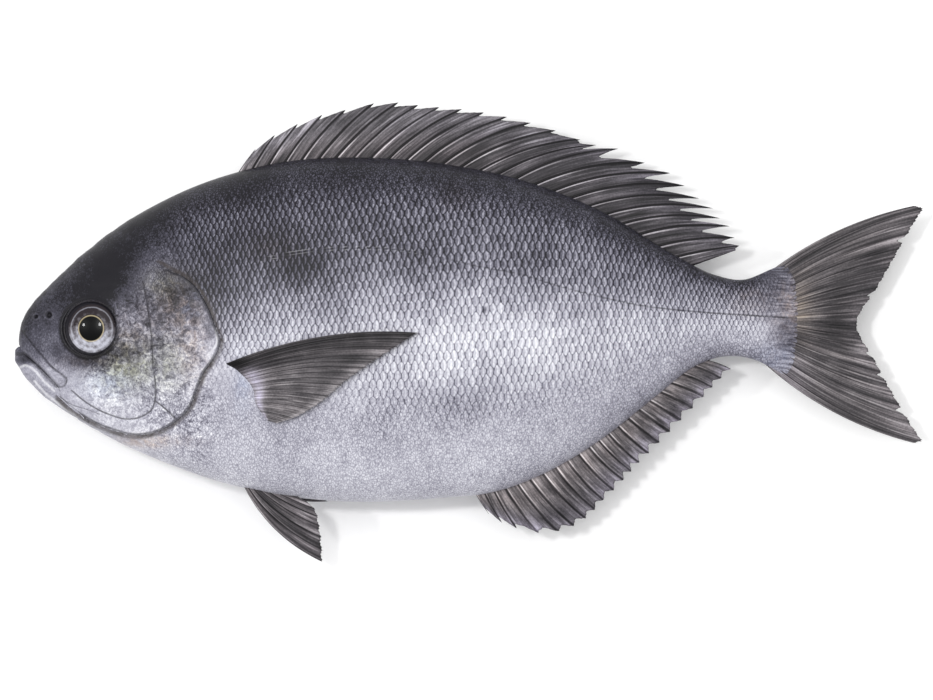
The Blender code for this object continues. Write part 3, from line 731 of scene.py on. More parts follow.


# Dark lines of the head: painted shade along the cheek's and jaw's grooves, the strap's edges and the
# mouth's gap, and on the gill cover also under its free edge
HEAD_LINES = (
    (CHEEK_LINE, 0.4), (JAW_CORNER_LINE, 0.16), (MOUTH_LINE, 1.1), (STRAP_TOP, 0.5),
    (STRAP_END, 0.5),
)
COVER_LINES = HEAD_LINES + ((LOWER_LINE, 0.45), (GILL_EDGE, 0.75))
PALE_LINES = ((LIP_STREAK, 0.6), (CHIN_STREAK, 0.6), (GILL_GLINT, 0.6))


def head_relief(x, y):
    """Millimetres in or out of the head's skin: sockets, eyelids, nostrils and low bumps."""
    eye = np.hypot(x - EYE_AT[0], y - EYE_AT[1]) * MM_IN_HUNDREDTH
    lid, spread, proud = EYELID_MM
    relief = proud * np.exp(-(((eye - lid) / spread) ** 2))
    relief = relief - SOCKET_DEPTH_MM * (1 - step(*SOCKET_MM, eye))
    for at_x, at_y, radius in NOSTRILS:
        far = np.hypot(x - at_x, y - at_y) * MM_IN_HUNDREDTH
        relief = relief - 1.2 * (1 - step(0.5 * radius, 1.1 * radius, far))
        relief = relief + 0.25 * np.exp(-(((far - 1.45 * radius) / 0.5) ** 2))
    relief = relief + 0.16 * ripple(x, y, 3.2, 11) + 0.07 * ripple(x, y, 1.2, 12)
    return relief - NAPE_SINK_MM * step(*NAPE, x)


def jaw_relief(x, y):
    """Millimetres in or out of the lower jaw's skin, sunk under the cheek at its end."""
    return 0.12 * ripple(x, y, 2.4, 21) - 1.2 * step(6.2, LOWER_JAW_END, x)


def make_sections(name, cuts, ends, ease, lines, relief, finish, **mouth):
    """A closed piece of the head from whole sections, crowded towards the snout by ease."""
    columns, rows = cuts
    piece, column, row = start_grid(name, columns, rows)
    x = ends[0] + (ends[1] - ends[0]) * np.linspace(0, 1, columns + 1) ** ease
    y, z = rings(x, lines, rows // 2, **mouth)
    at_x, at_y = x[column], y[column, row]
    set_points(piece, laid(at_x, at_y, z[column, row]))
    paint_skin(piece, at_x, at_y, HEAD_LINES, PALE_LINES)
    give_layer(piece, "relief", relief(at_x, at_y))
    give_map(piece, "Scales", at_x, at_y)
    close_up(piece)
    raise_skin(piece)
    return finish_piece(piece, finish, "fish_skin", "fish")


def make_head(finish):
    """The skull, closed from the snout to inside the trunk, and the lower jaw under it."""
    make_sections("head_skin", SKULL_CUTS, (SKULL_NOSE, SKULL_BACK), SKULL_EASE, skull_lines,
                  head_relief, finish, lip=upper_lip)
    make_sections("lower_jaw", LOWER_JAW_CUTS, (0.0, LOWER_JAW_END), LOWER_JAW_EASE, jaw_lines,
                  jaw_relief, finish, gum=jaw_gum)


def paired(first, second, count):
    """Two curves point for point, count points spread evenly along the first."""
    first, second = np.array(first, float), np.array(second, float)
    place = np.arange(len(first))
    way = np.concatenate([[0], np.cumsum(np.linalg.norm(np.diff(first, axis=0), axis=1))])
    spread = np.interp(np.linspace(0, way[-1], count), way, place)
    curves = []
    for points in (first, second):
        curves.append(np.column_stack([
            smooth_line(np.column_stack([place, points[:, axis]]))(spread) for axis in (0, 1)
        ]))
    return curves


def lay_on_flank(piece, side, at, lift, finish, *lines, shade_behind_gill=True):
    """Ends a sheet that lies on the flank, so many millimetres off it at each (x, y)."""
    x, y = at[:, 0], at[:, 1]
    set_points(piece, laid(x, y, side * (flank(x, y) + lift / MM_IN_HUNDREDTH)))
    paint_skin(piece, x, y, *lines, shade_behind_gill=shade_behind_gill)
    give_map(piece, "Scales", x, y)
    close_up(piece, upwards=side)
    return finish_piece(piece, finish, "fish_skin", "fish")


def make_gill_cover(side, finish, sizes):
    """The bony cover over the gills, lying on the cheek in front and lifted at its free edge."""
    along, out = GILL_CUTS
    edge, root = paired(GILL_EDGE, GILL_ROOT, along + 1)
    piece, column, row = start_grid(sided("gill_cover", side), along, out)
    share = np.clip(np.arange(out + 1) / (out - GILL_RIM_CUTS), 0, 1)[row]
    turn = np.clip((np.arange(out + 1) - (out - GILL_RIM_CUTS)) / GILL_RIM_CUTS, 0, 1)[row]
    turn = turn * GILL_RIM_TURN
    place = column / along
    reach = edge[column] - root[column]
    outward = reach / np.linalg.norm(reach, axis=1)[:, None]
    lip = GILL_RIM_MM / MM_IN_HUNDREDTH
    at = root[column] + reach * share[:, None] + outward * (lip * np.sin(turn))[:, None]
    ends = step(0.0, 0.07, place) * (1 - 0.85 * step(0.8, 0.98, place))
    high = sizes.gill_lift / MM * ends - 0.5 * (1 - ends)
    lift = -0.4 + 0.75 * step(0.0, 0.35, share) + (high - 0.35) * share**2
    at_x, at_y = at[:, 0], at[:, 1]
    cheek = signed_distance(at_x, at_y, smooth_path(CHEEK_LINE, 4 * len(CHEEK_LINE)))
    lower = signed_distance(at_x, at_y, LOWER_LINE)
    body_form = 0.3 * step(0.5, -0.5, cheek) - 0.45 * np.exp(-((cheek / 0.5) ** 2))
    body_form = body_form - 0.25 * np.exp(-((lower / 0.4) ** 2))
    body_form = body_form + 0.14 * ripple(at_x, at_y, 3.0, 15) + 0.05 * ripple(at_x, at_y, 1.1, 16)
    lift = lift + body_form * step(0.0, 0.12, share) - 2.2 * (1 - np.cos(turn)) * GILL_RIM_MM
    return lay_on_flank(
        piece, side, at, lift, finish, COVER_LINES, PALE_LINES, shade_behind_gill=False)


def make_lip_strap(side, finish):
    """The strap of the upper jaw, crowned, from the snout down to its round end."""
    along, across = STRAP_CUTS
    low, high = paired(STRAP_BOTTOM, STRAP_TOP, along + 1)
    piece, column, row = start_grid(sided("upper_jaw", side), along, across)
    share, place = row / across, column / along
    round_end = np.sqrt(np.clip(1 - step(0.86, 1.0, place) ** 2, 0.02, 1))
    middle = (low[column] + high[column]) / 2
    at = middle + (high[column] - low[column]) * ((share - 0.5) * round_end)[:, None]
    crown = np.clip(1 - np.abs(2 * share - 1) ** 3, 0, 1)
    ends = step(0.0, 0.25, place) * (1 - 0.4 * step(0.9, 1.0, place))
    lift = -0.5 + (0.35 + 1.0 * ends) * crown + 0.05 * ripple(at[:, 0], at[:, 1], 1.4, 31)
    return lay_on_flank(piece, side, at, lift, finish, HEAD_LINES)


def fan(root, tip, arch, out):
    """x and y, out along the bowed line from a ray's root to its tip."""
    reach_x, reach_y = tip[0] - root[0], tip[1] - root[1]
    bow = 4 * arch * out * (1 - out)
    return root[0] + reach_x * out - reach_y * bow, root[1] + reach_y * out + reach_x * bow


def margin_dip(number, depth, soft, slit):
    """How far the fin's edge falls back: sharp behind a spine's tip, a V or slit between soft rays."""
    part = number % 1
    spiny = (1 - part) * step(0.0, 0.12, part)
    split = (1 - np.abs(2 * part - 1)) ** slit
    return depth * (spiny + (split - spiny) * soft)


def make_fin(name, rays, rows, roots, tips, arch, notch, edge, soft, plane, tones, finish):
    """A rayed fin: a front and a back sheet of rays and webs that meet at the margin and ends.

    roots and tips give x and y at a ray number, plane gives the height at (x, y, share out).
    edge gives how narrow the splits are and how far the margin frays.
    """
    slit, fray = edge
    number = np.concatenate([i + np.array(RAY_PLACES) for i in range(rays - 1)] + [[rays - 1.0]])
    piece, column, row = start_grid(name, len(number) - 1, 2 * rows)
    number = number[column]
    share = 1 - np.abs(row - rows) / rows
    face = np.where(row <= rows, 1.0, -1.0)
    near = np.abs((number + 0.5) % 1 - 0.5)
    frayed = fray * (1 + np.sin(2 * math.pi * 3.7 * number + 3 * np.sin(1.3 * number)))
    out = share * (1 - margin_dip(number, notch(number), soft(number), slit) - frayed)
    x, y = fan(roots(number), tips(number), arch(number), out)
    ray = RAY_HALF_MM[0] + (RAY_HALF_MM[1] - RAY_HALF_MM[0]) * share
    web = WEB_HALF_MM[0] + (WEB_HALF_MM[1] - WEB_HALF_MM[0]) * share
    half = web + (ray - web) * np.exp(-((near / 0.11) ** 2))
    half = half + 0.07 * np.sin(2 * math.pi * 4 * number) * soft(number) * share
    ends = np.minimum(number, rays - 1 - number)
    half = half * np.sqrt(np.clip(1 - share**8, 0, 1)) * step(0.0, 0.03, share)
    half = half * np.sqrt(step(0.0, 0.3, ends))
    sag = 0.12 * np.sin(2 * math.pi * number) * share * (1 - soft(number))
    height = plane(x, y, share) + (face * half + sag) / MM_IN_HUNDREDTH
    points = laid(x, y, height)
    # A fin that the slab presses flat keeps its thickness
    points[:, 2] = np.maximum(points[:, 2], (1 + face) * half * MM)
    set_points(piece, points)
    tone, cast = tones(number, share, x, y)
    give_layer(piece, "tone", tone)
    give_layer(piece, "cast", np.stack(cast, 1))
    give_map(piece, "Rays", number, share)
    close_up(piece)
    return finish_piece(piece, finish, "fish_skin", "fish")


def all_soft(number):
    return 1 + 0 * number


def middle_plane(x, y, share):
    return 0.0 * x


def dorsal_tones(number, share, x, y):
    soft = step(*DORSAL_SOFT, number)
    tone = 0.4 - 0.05 * step(4.0, 12.0, number) - 0.05 * soft + 0.05 * ripple(x, y, 5.0, 41)
    tone = tone + 0.06 * step(0.55, 1.0, share) - 0.06 * step(0.35, 0.1, share)
    brown = 0.28 * step(0.8, 0.2, share) * (1 - 0.6 * soft)
    violet = 0.25 + 0.15 * step(0.5, 1.0, share) * soft
    return tone, (violet, brown, 0 * tone)


def make_dorsal_fin(finish):
    root_x = smooth_line(DORSAL_ROOT)
    return make_fin(
        "dorsal_fin", DORSAL_RAYS, DORSAL_ROWS,
        lambda n: (root_x(n), back(root_x(n)) - FIN_SINK), knotted(DORSAL_TIPS),
        smooth_line(DORSAL_ARCH), smooth_line(DORSAL_NOTCH), DORSAL_EDGE,
        lambda n: step(*DORSAL_SOFT, n), middle_plane, dorsal_tones, finish,
    )


def anal_tones(number, share, x, y):
    tone = 0.42 + 0.12 * step(0.4, 0.1, share) + 0.03 * ripple(x, y, 4.0, 42)
    tone = tone + 0.1 * step(0.7, 1.0, share)
    return tone, (0.15 + 0.4 * step(0.5, 1.0, share), 0.35 * step(0.9, 0.3, share), 0 * tone)


def make_anal_fin(finish):
    root_x = smooth_line(ANAL_ROOT)
    return make_fin(
        "anal_fin", ANAL_RAYS, ANAL_ROWS,
        lambda n: (root_x(n), belly(root_x(n)) + FIN_SINK), knotted(ANAL_TIPS),
        smooth_line(ANAL_ARCH), smooth_line(ANAL_NOTCH), ANAL_EDGE,
        lambda n: step(*ANAL_SOFT, n), middle_plane, anal_tones, finish,
    )


def tail_tones(number, share, x, y):
    scaly = mound(x, y, 86.4, 2.7, 1.7, 3.4)
    tone = 0.33 + 0.06 * step(0.0, -6.0, y) + 0.04 * ripple(x, y, 4.0, 43)
    tone = tone + 0.17 * scaly + 0.08 * step(0.7, 1.0, share)
    tone = tone + 0.1 * step(-1.5, -3.2, y) * step(89.5, 85.5, x)
    tone = tone - 0.16 * mound(x, y, 90.6, 1.0, 2.2, 1.6)
    violet = 0.08 + 0.1 * step(0.6, 1.0, share) + 0.25 * step(-1.0, -4.0, y) * step(89.0, 85.0, x)
    return tone, (violet, 0.2 + 0 * tone, 0.9 * scaly)


def tail_notch(number):
    """Small frays between most rays, and a deeper split between some."""
    frays = smooth_line(TAIL_NOTCH)(number)
    return frays + TAIL_SPLIT_DEPTH * np.isin(np.floor(number), TAIL_SPLITS)


def make_tail_fin(finish):
    return make_fin(
        "tail_fin", TAIL_RAYS, TAIL_ROWS, knotted(TAIL_ROOTS), knotted(TAIL_TIPS),
        smooth_line(TAIL_ARCH), tail_notch, TAIL_EDGE,
        all_soft, middle_plane, tail_tones, finish,
    )


def pectoral_tones(number, share, x, y):
    lower = step(3.0, 12.0, number)
    bristles = np.exp(-(((share - 0.08) / 0.08) ** 2)) * step(3.0, 7.0, number)
    tone = 0.22 + 0.2 * lower + 0.04 * ripple(x, y, 3.0, 44)
    tone = tone + 0.26 * bristles + 0.16 * step(0.82, 1.0, share) * step(1.0, 6.0, number)
    # Painted shade in the gap under the fin's upper root
    tone = tone - 0.3 * mound(x, y, 23.9, -3.3, 1.5, 0.5)
    return tone, (0.1 + 0.5 * bristles, 0.15 * (1 - bristles), 0 * tone)


def make_pectoral_fin(side, finish):
    def over_flank(x, y, share):
        rise = PECTORAL_RISE * share**PECTORAL_RISE_POWER
        return side * (flank(x, y) - PECTORAL_SINK + rise)

    return make_fin(
        sided("pectoral_fin", side), PECTORAL_RAYS, PECTORAL_ROWS,
        knotted(PECTORAL_ROOTS), knotted(PECTORAL_TIPS),
        smooth_line(PECTORAL_ARCH), smooth_line(PECTORAL_NOTCH), PECTORAL_EDGE,
        all_soft, over_flank, pectoral_tones, finish,
    )


def pelvic_tones(number, share, x, y):
    tone = 0.3 + 0.1 * step(0.5, 1.0, share) + 0.04 * ripple(x, y, 2.5, 45)
    return tone, (0.1 + 0.15 * share, 0.2 + 0 * tone, 0 * tone)


def make_pelvic_fin(side, finish):
    return make_fin(
        sided("pelvic_fin", side), PELVIC_RAYS, PELVIC_ROWS,
        knotted(PELVIC_ROOTS), knotted(PELVIC_TIPS if side > 0 else FOLDED_PELVIC_TIPS),
        smooth_line(PELVIC_ARCH), smooth_line(PELVIC_NOTCH), PELVIC_EDGE, all_soft,
        lambda x, y, share: side * (PELVIC_Z + PELVIC_SPREAD * share), pelvic_tones, finish,
    )


def eye_centre(side):
    """Where the middle of the CAD eye is."""
    low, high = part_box("eye_left" if side > 0 else "eye_right")
    return (low + high) / 2


def make_eye(side, finish):
    """A flattened ball, its pole outwards, with its own plane coordinates kept for the iris."""
    bpy.ops.object.select_all(action="DESELECT")
    around, up = EYE_CUTS
    bpy.ops.mesh.primitive_uv_sphere_add(segments=around, ring_count=up, radius=EYE_RADIUS_MM * MM)
    piece = bpy.context.object
    piece.name = piece.data.name = sided("eyeball", side)
    piece.data.uv_layers[0].name = "OFBake"
    bpy.ops.object.mode_set(mode="EDIT")
    bpy.ops.mesh.select_all(action="SELECT")
    flatter = EYE_HALF_DEPTH_MM / EYE_RADIUS_MM
    bpy.ops.transform.resize(value=(1, 1, flatter), center_override=(0, 0, 0))
    bpy.ops.object.mode_set(mode="OBJECT")
    bpy.ops.object.shade_smooth()
    give_layer(piece, "iris", read(piece.data.vertices, "co") / MM)
    turn = Matrix.Rotation(-side * EYE_TILT, 4, "Y")
    piece.data.transform(Matrix.Translation(eye_centre(side)) @ turn)
    return finish_piece(piece, finish, "fish_eye", "eye_left" if side > 0 else "eye_right")


def make_eye_rim(side, finish):
    """The soft ring of skin round the eye."""
    lid, _, _ = EYELID_MM
    around, across = EYE_RIM_CUTS
    bpy.ops.object.select_all(action="DESELECT")
    bpy.ops.mesh.primitive_torus_add(
        major_segments=around, minor_segments=across, major_radius=(lid - EYE_RIM_INSIDE_MM) * MM,
        minor_radius=EYE_RIM_HALF_MM * MM, generate_uvs=True,
    )
    piece = bpy.context.object
    piece.name = piece.data.name = sided("eye_rim", side)
    piece.data.uv_layers[0].name = "OFBake"
    bpy.ops.object.shade_smooth()
    turn = Matrix.Rotation(-side * EYE_TILT, 4, "Y")
    rise = Vector((0, 0, side * EYE_RIM_RISE_MM * MM))
    piece.data.transform(Matrix.Translation(eye_centre(side) + rise) @ turn)
    count = len(piece.data.vertices)
    give_layer(piece, "tone", np.full(count, 0.12))
    give_layer(piece, "pattern", np.tile((0.0, 0.2, 0.0), (count, 1)))
    give_layer(piece, "cast", np.tile((0.35, 0.0, 0.0), (count, 1)))
    give_layer(piece, "lines", np.full((count, 3), FAR_MM))
    give_layer(piece, "fray", np.zeros(count))
    return finish_piece(piece, finish, "fish_skin", "fish")


def add(tree, kind, *values, out=0, stops=None, sockets=None, **settings):
    """Adds a node, sets its inputs in order or by name from values or outputs, and gives an output."""
    made = tree.nodes.new("ShaderNode" + kind)
    for name, value in settings.items():
        setattr(made, name, value)
    for place, value in enumerate(values):
        if isinstance(value, bpy.types.NodeSocket):
            tree.links.new(value, made.inputs[place])
        elif value is not None:
            made.inputs[place].default_value = value
    for name, value in (sockets or {}).items():
        if isinstance(value, bpy.types.NodeSocket):
            tree.links.new(value, made.inputs[name])
        else:
            made.inputs[name].default_value = value
    for index, (place, colour) in enumerate(stops or ()):
        ramp = made.color_ramp.elements
        stop = ramp[index] if index < 2 else ramp.new(place)
        stop.position = place
        stop.color = (*colour, 1)
    return made.outputs[out] if len(made.outputs) else made


def new_finish(name):
    finish = bpy.data.materials.new(name)
    finish.use_nodes = True
    finish.node_tree.nodes.clear()
    return finish, finish.node_tree


def stored(tree, name):
    """The three numbers kept for each point under that name."""
    kept = add(tree, "Attribute", attribute_name=name, out=1)
    return add(tree, "SeparateXYZ", kept).node.outputs


def add_casts(tree, colour, noise, casts):
    """Multiplies a colour by casts of (strength, tint, noise from, noise to, most), broken up by noise."""
    for strength, tint, start, end, most in casts:
        broken = add(tree, "MapRange", noise, start, end, 0.4, most)
        share = add(tree, "Math", strength, broken, operation="MULTIPLY", use_clamp=True)
        colour = add(tree, "Mix", data_type="RGBA", blend_type="MULTIPLY", out=2, sockets={
            0: share, 6: colour, 7: (*tint, 1)})
    return colour


def end_wet(tree, colour, rough, height, strength, coat_rough):
    """Wet skin over a bumped surface: softly glossy, under a thin film of slime."""
    bump = add(tree, "Bump", sockets={
        "Strength": strength, "Distance": 0.2 * MM, "Height": height})
    shader = add(tree, "BsdfPrincipled", sockets={
        "Base Color": colour, "Roughness": rough, "Normal": bump, "IOR": 1.4,
        "Specular IOR Level": 0.22, "Coat Weight": 0.03, "Coat Roughness": coat_rough,
    })
    add(tree, "OutputMaterial", shader)


def skin_finish(colours):
    """Wet fish skin: slimy and softly glossy, silver scales under a slate back.

    Each scale is pale in the middle, partly its own silver and partly a painted sheen, and dark in the
    pocket where the next one covers it, partly pigment and partly painted shade.
    """
    finish, tree = new_finish(SKIN_NAME)
    place = add(tree, "TexCoord", out=3)
    tone = add(tree, "Attribute", attribute_name="tone", out=2)
    weights, casts, marks = (stored(tree, name) for name in ("pattern", "cast", "lines"))
    fray = add(tree, "Attribute", attribute_name="fray", out=2)
    lattice = add(tree, "UVMap", uv_map="Scales")
    cell = add(tree, "SeparateXYZ", lattice).node.outputs

    # The scales: cells in staggered rows, each reaching a little between those above and below
    bend = add(tree, "TexNoise", place, None, 1000 / 2.6, 2.0, out=1)
    uneven = add(tree, "SeparateXYZ", bend).node.outputs
    along = add(tree, "Math", uneven[0], 0.5, cell[0], operation="MULTIPLY_ADD")
    up = add(tree, "Math", uneven[1], 0.42, cell[1], operation="MULTIPLY_ADD")
    row = add(tree, "Math", up, operation="FLOOR")
    part = add(tree, "Math", up, operation="FRACT")
    odd = add(tree, "Math", row, 2.0, operation="FLOORED_MODULO")
    turn = add(tree, "Math", odd, -0.5, along, operation="MULTIPLY_ADD")
    turn = add(tree, "Math", turn, 2 * math.pi, operation="MULTIPLY")
    wave = add(tree, "Math", turn, operation="COSINE")
    wave = add(tree, "Math", wave, -SCALE_POINT, 0.5, operation="MULTIPLY_ADD")
    above = add(tree, "Math", part, wave, operation="GREATER_THAN")
    row = add(tree, "Math", row, above, operation="ADD")
    odd = add(tree, "Math", row, 2.0, operation="FLOORED_MODULO")
    along = add(tree, "Math", odd, -0.5, along, operation="MULTIPLY_ADD")
    across = add(tree, "Math", along, operation="FRACT")
    count = add(tree, "Math", along, operation="FLOOR")
    off_middle = add(tree, "Math", up, row, operation="SUBTRACT")
    off_middle = add(tree, "Math", off_middle, 2.0, operation="POWER")

    # One number for each scale, so that some are lighter than their neighbours
    scale = add(tree, "CombineXYZ", count, row, 0.0)
    lighter = add(tree, "TexWhiteNoise", scale, noise_dimensions="2D")
    lighter = add(tree, "Math", lighter, 0.5, operation="SUBTRACT")

    # Dark between the scales, partly pigment and partly painted shade in the pockets, wider where the skin
    # is dark, and a pale middle, partly silver and partly painted sheen
    wide = add(tree, "Math", tone, -0.16, 0.12, operation="MULTIPLY_ADD")
    rest = add(tree, "Math", 1.0, across, operation="SUBTRACT")
    side = add(tree, "Math", across, rest, operation="MINIMUM")
    side = add(tree, "Math", off_middle, -0.45, side, operation="MULTIPLY_ADD")
    side = add(tree, "Math", side, wide, operation="SUBTRACT")
    end = add(tree, "Math", part, wave, operation="SUBTRACT")
    end = add(tree, "Math", end, operation="ABSOLUTE")
    end = add(tree, "Math", end, wide, operation="SUBTRACT")
    side = add(tree, "MapRange", side, -0.02, 0.1, 1.0, 0.0, **SMOOTH)
    end = add(tree, "MapRange", end, -0.02, 0.08, 0.9, 0.0, **SMOOTH)
    dark = add(tree, "Math", side, end, operation="MAXIMUM")
    middle = add(tree, "Math", off_middle, 0.35, across, operation="MULTIPLY_ADD")
    middle = add(tree, "Math", middle, 0.6, operation="SUBTRACT")
    middle = add(tree, "Math", middle, operation="ABSOLUTE")
    streak = add(tree, "MapRange", middle, 0.0, 0.22, 1.0, 0.0, **SMOOTH)
    deep = add(tree, "Math", tone, -0.36, -0.1, operation="MULTIPLY_ADD")
    bright = add(tree, "Math", tone, -0.2, 0.27, operation="MULTIPLY_ADD")
    net = add(tree, "Math", dark, deep, -0.01, operation="MULTIPLY_ADD")
    net = add(tree, "Math", streak, bright, net, operation="MULTIPLY_ADD")
    net = add(tree, "Math", lighter, 0.09, net, operation="MULTIPLY_ADD")
    net = add(tree, "Math", net, weights[0], operation="MULTIPLY")

    # Grain of 0.7 mm all over, patches and specks on the head, and small cells with dark edges
    # where the scales are small, on the back and belly
    bent = add(tree, "VectorMath", bend, (1.6 * MM,) * 3, place, operation="MULTIPLY_ADD")
    grain = add(tree, "TexNoise", place, None, 1000 / 0.7, 3.0, 0.65)
    patches = add(tree, "TexNoise", bent, None, 1000 / 5.5, 9.0, 0.74, 2.1, None, None, 1.1)
    specks = add(tree, "TexNoise", bent, None, 1000 / 1.4, 3.0, 0.6, 2.0, None, None, 0.6)
    squat = add(tree, "Mapping", bent, None, (0.0, 0.0, 0.25), (1.4, 0.75, 1.0))
    chips = add(tree, "TexVoronoi", squat, None, 1000 / 1.25, out=1)
    chips = add(tree, "SeparateXYZ", chips)
    seams = add(tree, "TexVoronoi", squat, None, 1000 / 1.25, feature="DISTANCE_TO_EDGE")
    seams = add(tree, "MapRange", seams, 0.0, 0.2, 0.0, 1.0)
    chips = add(tree, "Math", chips, 0.2, 0.8, operation="MULTIPLY_ADD")
    chips = add(tree, "Math", chips, seams, operation="MULTIPLY")
    tone = add(tree, "Math", tone, net, operation="ADD")
    for noise, middle, weight, depth in (
        (grain, 0.5, None, 0.3), (patches, 0.5, weights[1], 1.25), (specks, 0.5, weights[1], 0.75),
        (chips, 0.72, weights[2], 0.3),
    ):
        change = add(tree, "Math", noise, middle, operation="SUBTRACT")
        change = add(tree, "Math", change, depth, operation="MULTIPLY")
        if weight is not None:
            change = add(tree, "Math", change, weight, operation="MULTIPLY")
        tone = add(tree, "Math", tone, change, operation="ADD")

    # Streaks where the tail's rays start under the last scales
    rays = add(tree, "Mapping", lattice, (0.7, 0.2, 0.0), None, (0.22, 1.5, 1.0))
    rays = add(tree, "TexNoise", rays, None, 1.0, 4.0, 0.65)
    rays = add(tree, "Math", rays, 0.53, operation="SUBTRACT")
    rays = add(tree, "Math", rays, 0.9, operation="MULTIPLY")
    tone = add(tree, "Math", rays, fray, tone, operation="MULTIPLY_ADD")
    colour = add(tree, "ValToRGB", tone, stops=(
        (0.1, colours.skin_black), (0.3, colours.skin_slate), (0.45, colours.skin_grey),
        (0.62, colours.skin_pale), (0.76, colours.skin_silver), (0.95, colours.skin_white),
    ))

    # Casts of brown, olive and blue, broken up by the mottling
    hue = add(tree, "TexNoise", bent, None, 1000 / 4.0, 4.0, 0.6, 2.0, None, None, 0.8)
    colour = add_casts(tree, colour, hue, (
        (casts[0], colours.cast_brown, 0.42, 0.62, 1.2),
        (casts[1], colours.cast_olive, 0.3, 0.6, 1.2),
        (casts[2], colours.cast_blue, 0.62, 0.42, 1.2),
    ))

    # Pale and dark lines, stronger here and weaker there, and the painted shadow in the strip behind the
    # gill cover. Among the pale lines is a painted highlight on the gill cover's rim; among the dark ones
    # is painted shade in the head's grooves, in the mouth's gap and under the gill cover's edge
    patchy = add(tree, "MapRange", patches, 0.35, 0.6, 0.45, 1.0)
    for mark, start, end, most, tint in (
        (marks[1], 0.3, 1.4, 0.5, colours.skin_white),
        (marks[2], 1.3, 2.9, 0.92, colours.gill_shadow),
        (marks[0], 0.35, 1.4, 0.85, colours.skin_black),
    ):
        line = add(tree, "MapRange", mark, start, end, most, 0.0, **SMOOTH)
        line = add(tree, "Math", line, patchy, operation="MULTIPLY")
        colour = add(tree, "Mix", data_type="RGBA", out=2, sockets={
            0: line, 6: colour, 7: (*tint, 1)})

    rough = add(tree, "MapRange", grain, 0.3, 0.7, 0.32, 0.5)
    height = add(tree, "Math", grain, 0.35, operation="MULTIPLY")
    height = add(tree, "Math", net, 0.8, height, operation="MULTIPLY_ADD")
    end_wet(tree, colour, rough, height, 0.7, 0.2)
    return finish


def fin_finish(name, colours, spine_lines, streaks, streak_depth, pale_reach):
    """Wet fin membrane over bony rays: dark skin, with pale streaks that run out along the rays."""
    finish, tree = new_finish(name)
    place = add(tree, "TexCoord", out=3)
    tone = add(tree, "Attribute", attribute_name="tone", out=2)
    casts = stored(tree, "cast")
    rays = add(tree, "UVMap", uv_map="Rays")
    number, share, _ = add(tree, "SeparateXYZ", rays).node.outputs

    # Bands along the rays, and finer streaks in them
    stretched = add(tree, "Mapping", rays, (3.1, 1.7, 0.0), None, (0.35 * streaks, 0.9, 1.0))
    streak = add(tree, "TexNoise", stretched, None, 1.0, 4.0, 0.65, 2.2, None, None, 0.4)
    fine = add(tree, "Mapping", rays, (0.4, 5.2, 0.0), None, (1.5 * streaks, 1.3, 1.0))
    fine = add(tree, "TexNoise", fine, None, 1.0, 3.0, 0.6)
    grain = add(tree, "TexNoise", place, None, 1000 / 0.8, 2.0, 0.6)
    for noise, depth in ((streak, streak_depth), (fine, 1.15 * streak_depth), (grain, 0.2)):
        change = add(tree, "Math", noise, 0.5, operation="SUBTRACT")
        tone = add(tree, "Math", change, depth, tone, operation="MULTIPLY_ADD")

    # A thin black line on each ray, and beside it near its root a thin white one, a painted highlight
    # along the raised ray
    near = add(tree, "Math", number, 0.5, operation="ADD")
    near = add(tree, "Math", near, operation="FRACT")
    near = add(tree, "Math", near, 0.5, operation="SUBTRACT")
    off_dark = add(tree, "Math", near, operation="ABSOLUTE")
    off_pale = add(tree, "Math", near, 0.15, operation="SUBTRACT")
    off_pale = add(tree, "Math", off_pale, operation="ABSOLUTE")
    dark = add(tree, "MapRange", off_dark, 0.03, 0.12, 1.0, 0.0, **SMOOTH)
    pale = add(tree, "MapRange", off_pale, 0.02, 0.075, 1.0, 0.0, **SMOOTH)
    inner = add(tree, "MapRange", share, 0.15, pale_reach, 1.0, 0.0, **SMOOTH)
    pale = add(tree, "Math", pale, inner, operation="MULTIPLY")
    tone = add(tree, "Math", dark, -0.32 * spine_lines, tone, operation="MULTIPLY_ADD")
    tone = add(tree, "Math", pale, 0.38 * spine_lines, tone, operation="MULTIPLY_ADD")
    colour = add(tree, "ValToRGB", tone, stops=(
        (0.08, colours.fin_black), (0.3, colours.fin_dark), (0.45, colours.fin_grey),
        (0.65, colours.fin_pale), (0.9, colours.skin_white),
    ))
    colour = add_casts(tree, colour, streak, (
        (casts[0], colours.fin_violet, 0.3, 0.7, 1.1),
        (casts[1], colours.cast_brown, 0.3, 0.7, 1.1),
        (casts[2], colours.fin_sheath, 0.3, 0.7, 1.1),
    ))
    rough = add(tree, "MapRange", streak, 0.3, 0.7, 0.35, 0.55)
    height = add(tree, "Math", fine, streak, operation="ADD")
    end_wet(tree, colour, rough, height, 0.6, 0.25)
    return finish


